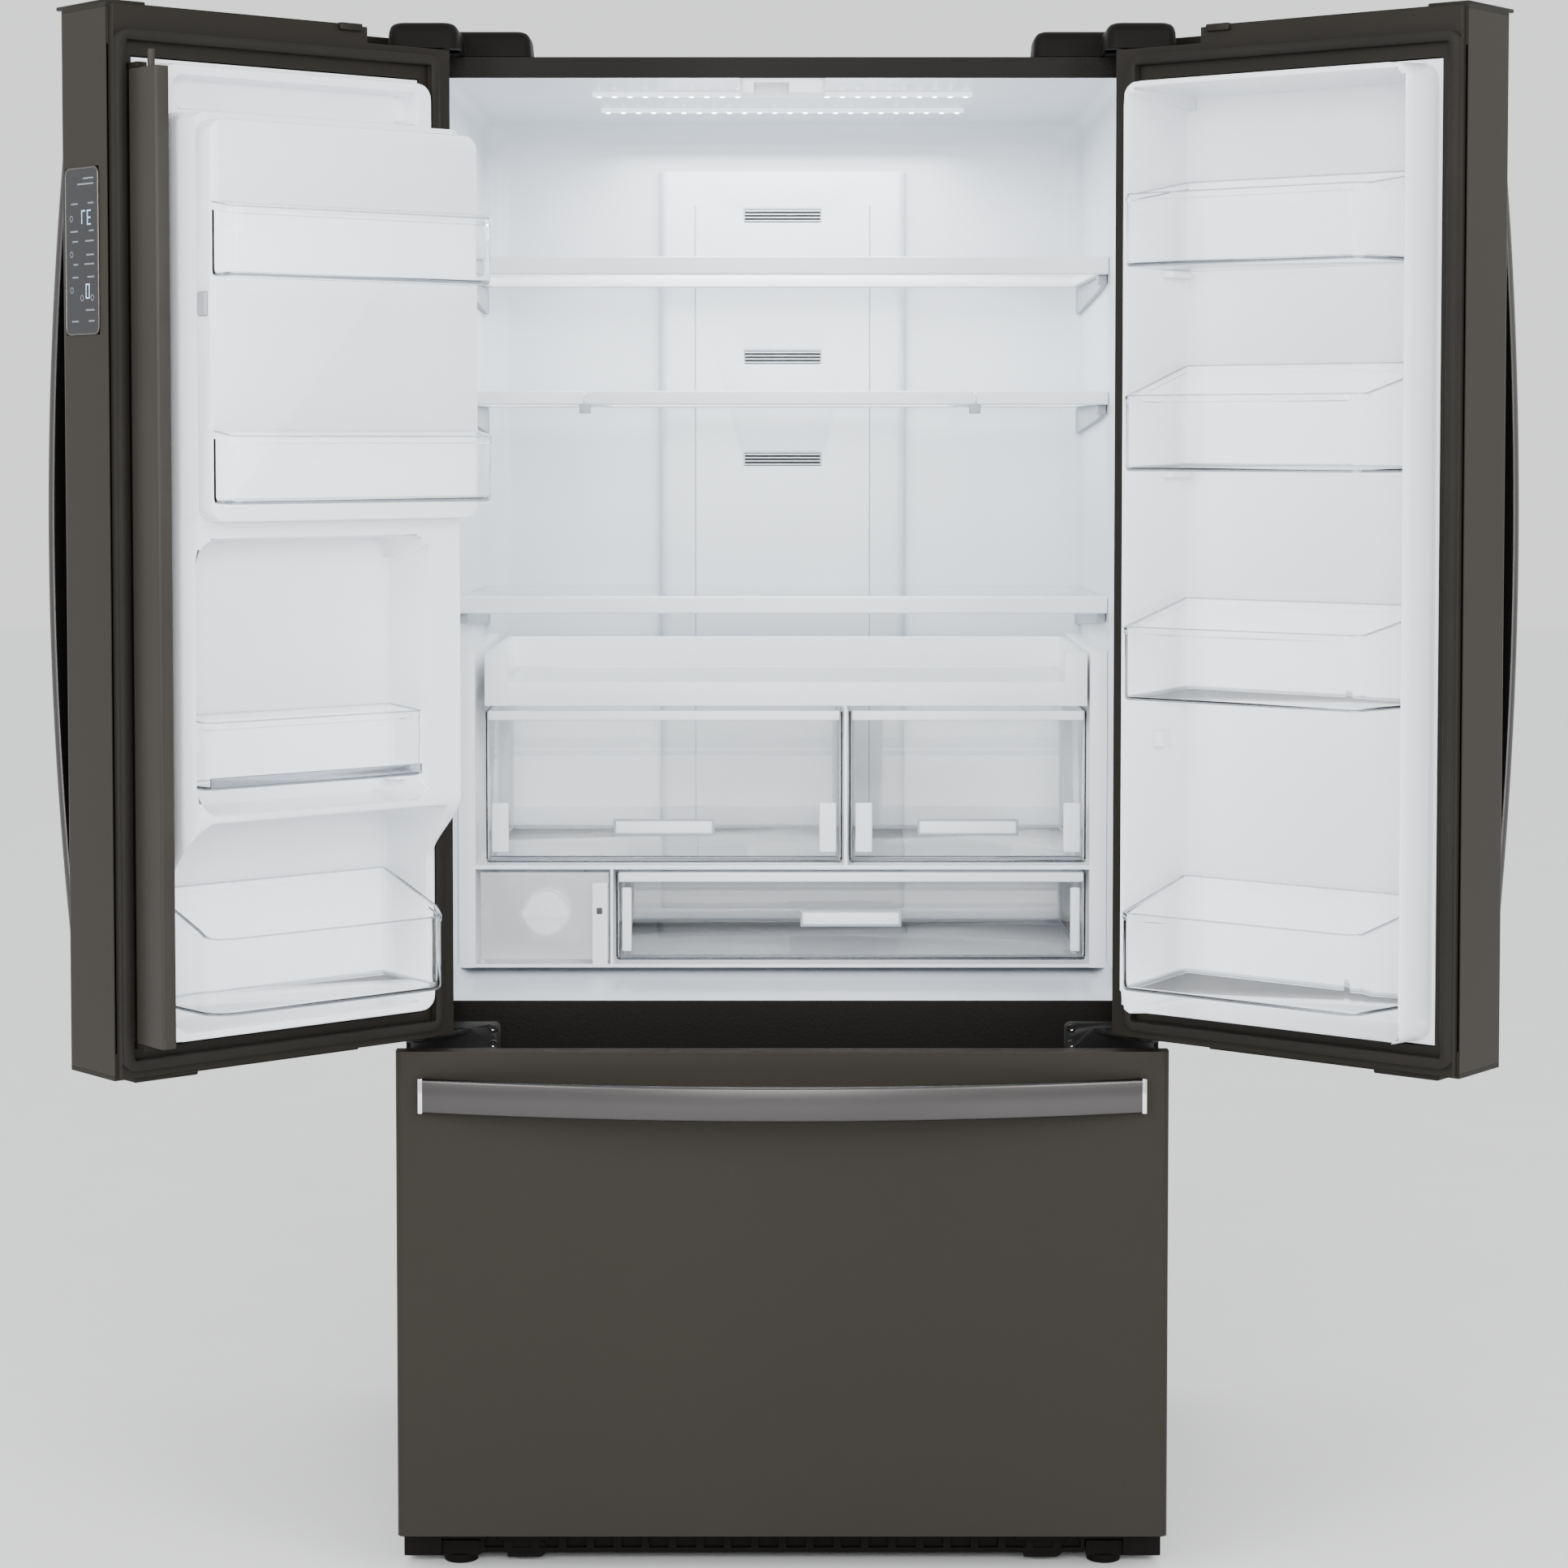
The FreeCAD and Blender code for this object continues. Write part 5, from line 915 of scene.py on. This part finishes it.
def panel_marks():
    """Plain bars and rings printed on the touch panel, lit figures, and the panel's border."""
    def on_panel(x, y, z):
        return on_left(HALF - 1.2 + y, FRONT_Y + 83 - TRIM_Y - x, z)

    def bar(x0, x1, z0, z1):
        return block(x0, x1, -0.05, 0.12, z0, z1, 0.03, 1)

    def circle(x, y, z, radius):
        turns = [a * math.pi / 12 for a in range(24)]
        return [(x + radius * math.cos(a), y, z + radius * math.sin(a)) for a in turns]

    printed = []
    for z, widths in PRINTED_BARS:
        for i, width in enumerate(widths):
            x = 10.0 + 34.0 * i
            printed.append(bar(x, x + width, z, z + 1.6))
    for x, z in PRINTED_RINGS:
        rings = [circle(x, y, z, r) for r, y in ((3.4, -0.05), (3.4, 0.12), (2.6, 0.12), (2.6, -0.05))]
        printed.append(lofted(rings, closed=True))
    piece("panel_print", "left_door", MARKS, printed, on_panel)
    lit = []
    for figures, x, z in FIGURES:
        for figure in figures:
            for segment in SEGMENTS[figure]:
                x0, x1, z0, z1 = SEGMENT_BARS[segment]
                lit.append(bar(x + x0, x + x1, z + z0, z + z1))
            x += 12.0
    piece("panel_figures", "left_door", DIGITS, lit, on_panel)
    rings = [standing_ring(0, 71, 1448.0, 1630.0, y, inset, 9 - inset)
             for inset, y in ((0, -0.6), (-0.1, 0.3), (1.2, 0.45), (1.8, -0.1))]
    piece("panel_border", "left_door", HANDLE, [lofted(rings, closed=True)], on_panel)
    finish_node(TOUCH_GLASS, "control_panel")


def dispenser_details():
    softened("dispenser_niche", "dispenser_housing", "left_door", DARK_TRIM, 1.6, 3)
    softened("dispenser_lever", "dispenser_paddle", "dispenser_paddle", DARK_TRIM, 0.8, 2)


def hinge_details():
    """Each hinge cover as three overlapping caps, and the plates and screws under it."""
    _, _, _, _, base, top = box_mm("hinge_covers")
    caps = []
    for x0, x1, y0, y1, radius in ((-458.6, -375.0, -454.6, -402.0, 16), (-439.6, -375.4, -440.0, -330.0, 12),
                                   (-439.6, -297.4, -363.6, -285.4, 14)):
        rings = []
        for inset, z in ((0.6, base), (0, base + 1), (1.6, top - 11), (3.4, top - 5), (6.6, top - 1.6), (11, top)):
            outline = rounded_outline(x0 + inset, x1 - inset, y0 + inset, y1 - inset, [radius - inset / 2] * 4, 6)
            rings.append([(x, y, z) for x, y in outline])
        caps.append(lofted(rings))
    caps += [([(-x, y, z) for x, y, z in points], faces) for points, faces in caps]
    piece("hinge_covers_soft", "cabinet", DARK_TRIM, caps, stands_for=("hinge_covers",))
    softened("top_hinge_plates", "top_hinges", "cabinet", ENAMEL, 0.8, 2)
    softened("centre_hinge_plates", "centre_hinges", "cabinet", ENAMEL, 1.0, 3)
    finish_node(CHROME, "hinge_screws")


def door_end_details():
    """Raised corners, a lug and the closer housings moulded on the doors' end caps."""
    _, _, _, _, bottom, top = box_mm("left_door_trim")
    for _, body, place in DOORS:
        caps = [block(398, HALF + FREE_X - 1, -118, -12, top - 1, top + 3.4, 1.4),
                block(126, 156, -6, 5, top - 9, top - 0.5, 1.6),
                block(126, 373, -96, -16, bottom - 3, bottom + 1, 1.2),
                block(337, 418, -92, -20, bottom - 7.5, bottom + 1, 2.0)]
        piece(body + "_end_details", body, DOOR_TRIM, caps, place)


# ---- the foot, the back and the finishes of what stays plain
def foot_housings():
    """Covers over the front rollers and levelling legs, and a dark plate behind the toe grille as painted shade in
    its slots.
    """
    x0, x1, y0, _, z0, z1 = box_mm("toe_grille")
    # A dark plate just behind the grille: painted shade that fills its slots.
    shapes = [block(x0 + 0.5, x1 - 0.5, y0 + 4.4, y0 + 6.2, z0 + 0.5, z1 - 4.5, 0.4, 1)]
    for near, far, drop in ((427, 349, 12), (339, 275, 10)):
        for a, b in both_sides(near, far):
            shapes.append(block(a, b, y0 - 3, y0 + 36, 16 + drop, 47, 4.0, 3))
            wheel = rounded_outline(a + 12, b - 6, drop - 4, 26, [9, 9, 2, 2], 4)
            shapes.append(lofted([[(x, y, z) for x, z in wheel] for y in (y0 + 2, y0 + 32)]))
    piece("toe_housings", "cabinet", DARK_TRIM, shapes)


def rear_details():
    """Strips beside the vented rear cover, and the screen behind its slots."""
    _, side, _, back, _, _ = box_mm("cabinet_shell")
    strips = [block(x0, x1, back - 2.1, back - 0.5, 38, 342, 0.4, 1) for x0, x1 in both_sides(side - 15, side - 1.3)]
    piece("rear_strips", "cabinet", CASE_PAINT, strips)
    piece("rear_screen", "cabinet", DARK_SLOT,
          [block(16 - side, side - 16, back - 8, back - 7, 60, 336, 0.3, 1)])


def flap_details():
    softened("mullion_flap_soft", "mullion_flap", "mullion_flap", FLAP_PAINT, 1.2, 3)


def plain_finishes():
    """Finishes for the CAD pieces that are shown as they are, and the toe grille."""
    finish_node(STEEL, "left_door_skin", "right_door_skin", "freezer_front")
    finish_node(DOOR_TRIM, "left_door_trim", "right_door_trim")
    finish_node(WHITE, "freezer_inner_panel", "evaporator_cover", "evaporator_fan", "flap_guide")
    finish_node(LINER, "freezer_liner")
    finish_node(ZINC, "freezer_outer_slides", "freezer_middle_slides")
    finish_node(ENAMEL, "compressor", "condenser", "rear_rollers")
    finish_node(DARK_TRIM, "base_tray", "levelling_feet", "condenser_fan")
    finish_node(FOAM, "insulation_boards")
    finish_node(FINS, "evaporator")
    finish_node(CASE_PAINT, "cabinet_shell")
    finish_node(FLANGE_PAINT, "front_frame")
    finish_node(CLEAR, "freezer_basket", "freezer_upper_basket")
    softened("toe_grille_soft", "toe_grille", "cabinet", DARK_TRIM, 0.8, 2)


for build in (refrigerator_liner, wall_rails, ceiling_details, duct_details, shelf_details, crisper_details,
              filter_details, door_linings, seals, door_bins, ice_compartment, handles, panel_marks,
              dispenser_details, hinge_details, door_end_details, foot_housings, rear_details, flap_details,
              plain_finishes):
    build()


# ---- floor, light and camera
LAMP_TABLE = (("front_left", (-2.6, -3.8, 2.6), (0, 0, 0.9), 2.2, 120),
              ("front_right", (2.6, -3.8, 2.6), (0, 0, 0.9), 2.2, 120),
              ("front_centre", (0, -4.6, 1.9), (0, 0, 1.1), 1.6, 80),
              ("room_light", (0, -0.02, 1.74), (0, -0.10, 0.7), 0.45, 6))


def floor_and_light():
    """A pale floor just under the feet, an even sky, and square lamps: name, place, aim, size, power."""
    reach, level = 20, -0.0005
    mesh = bpy.data.meshes.new("floor")
    mesh.from_pydata([(-reach, -reach, level), (reach, -reach, level), (reach, reach, level),
                      (-reach, reach, level)], [], [(0, 1, 2, 3)])
    mesh.materials.append(finish_made("pale_floor", (0.94, 0.945, 0.95), (0.92, 0.925, 0.93), 0.6))
    new_object("floor", mesh)
    world = bpy.data.worlds.new("studio")
    bpy.context.scene.world = world
    world.use_nodes = True
    sky = world.node_tree.nodes["Background"]
    sky.inputs["Color"].default_value = (0.98, 0.99, 1.0, 1)
    sky.inputs["Strength"].default_value = 1.35
    for name, place, aim, size, power in LAMP_TABLE:
        lamp = bpy.data.lights.new(name, "AREA")
        lamp.shape = "SQUARE"
        lamp.size = size
        lamp.energy = power
        holder = new_object(name, lamp)
        holder.location = place
        holder.rotation_euler = (Vector(aim) - Vector(place)).to_track_quat("-Z", "Y").to_euler()


def camera():
    data = bpy.data.cameras.new("camera")
    data.sensor_width = 36.0
    data.lens = 80.0
    data.shift_y = -0.115
    data.clip_end = 60.0
    holder = new_object("camera", data)
    holder.location = (0.002, -4.5134, 1.3341)
    holder.rotation_euler = (math.radians(90.0 - 2.70), 0, 0)
    bpy.context.scene.camera = holder


floor_and_light()
camera()
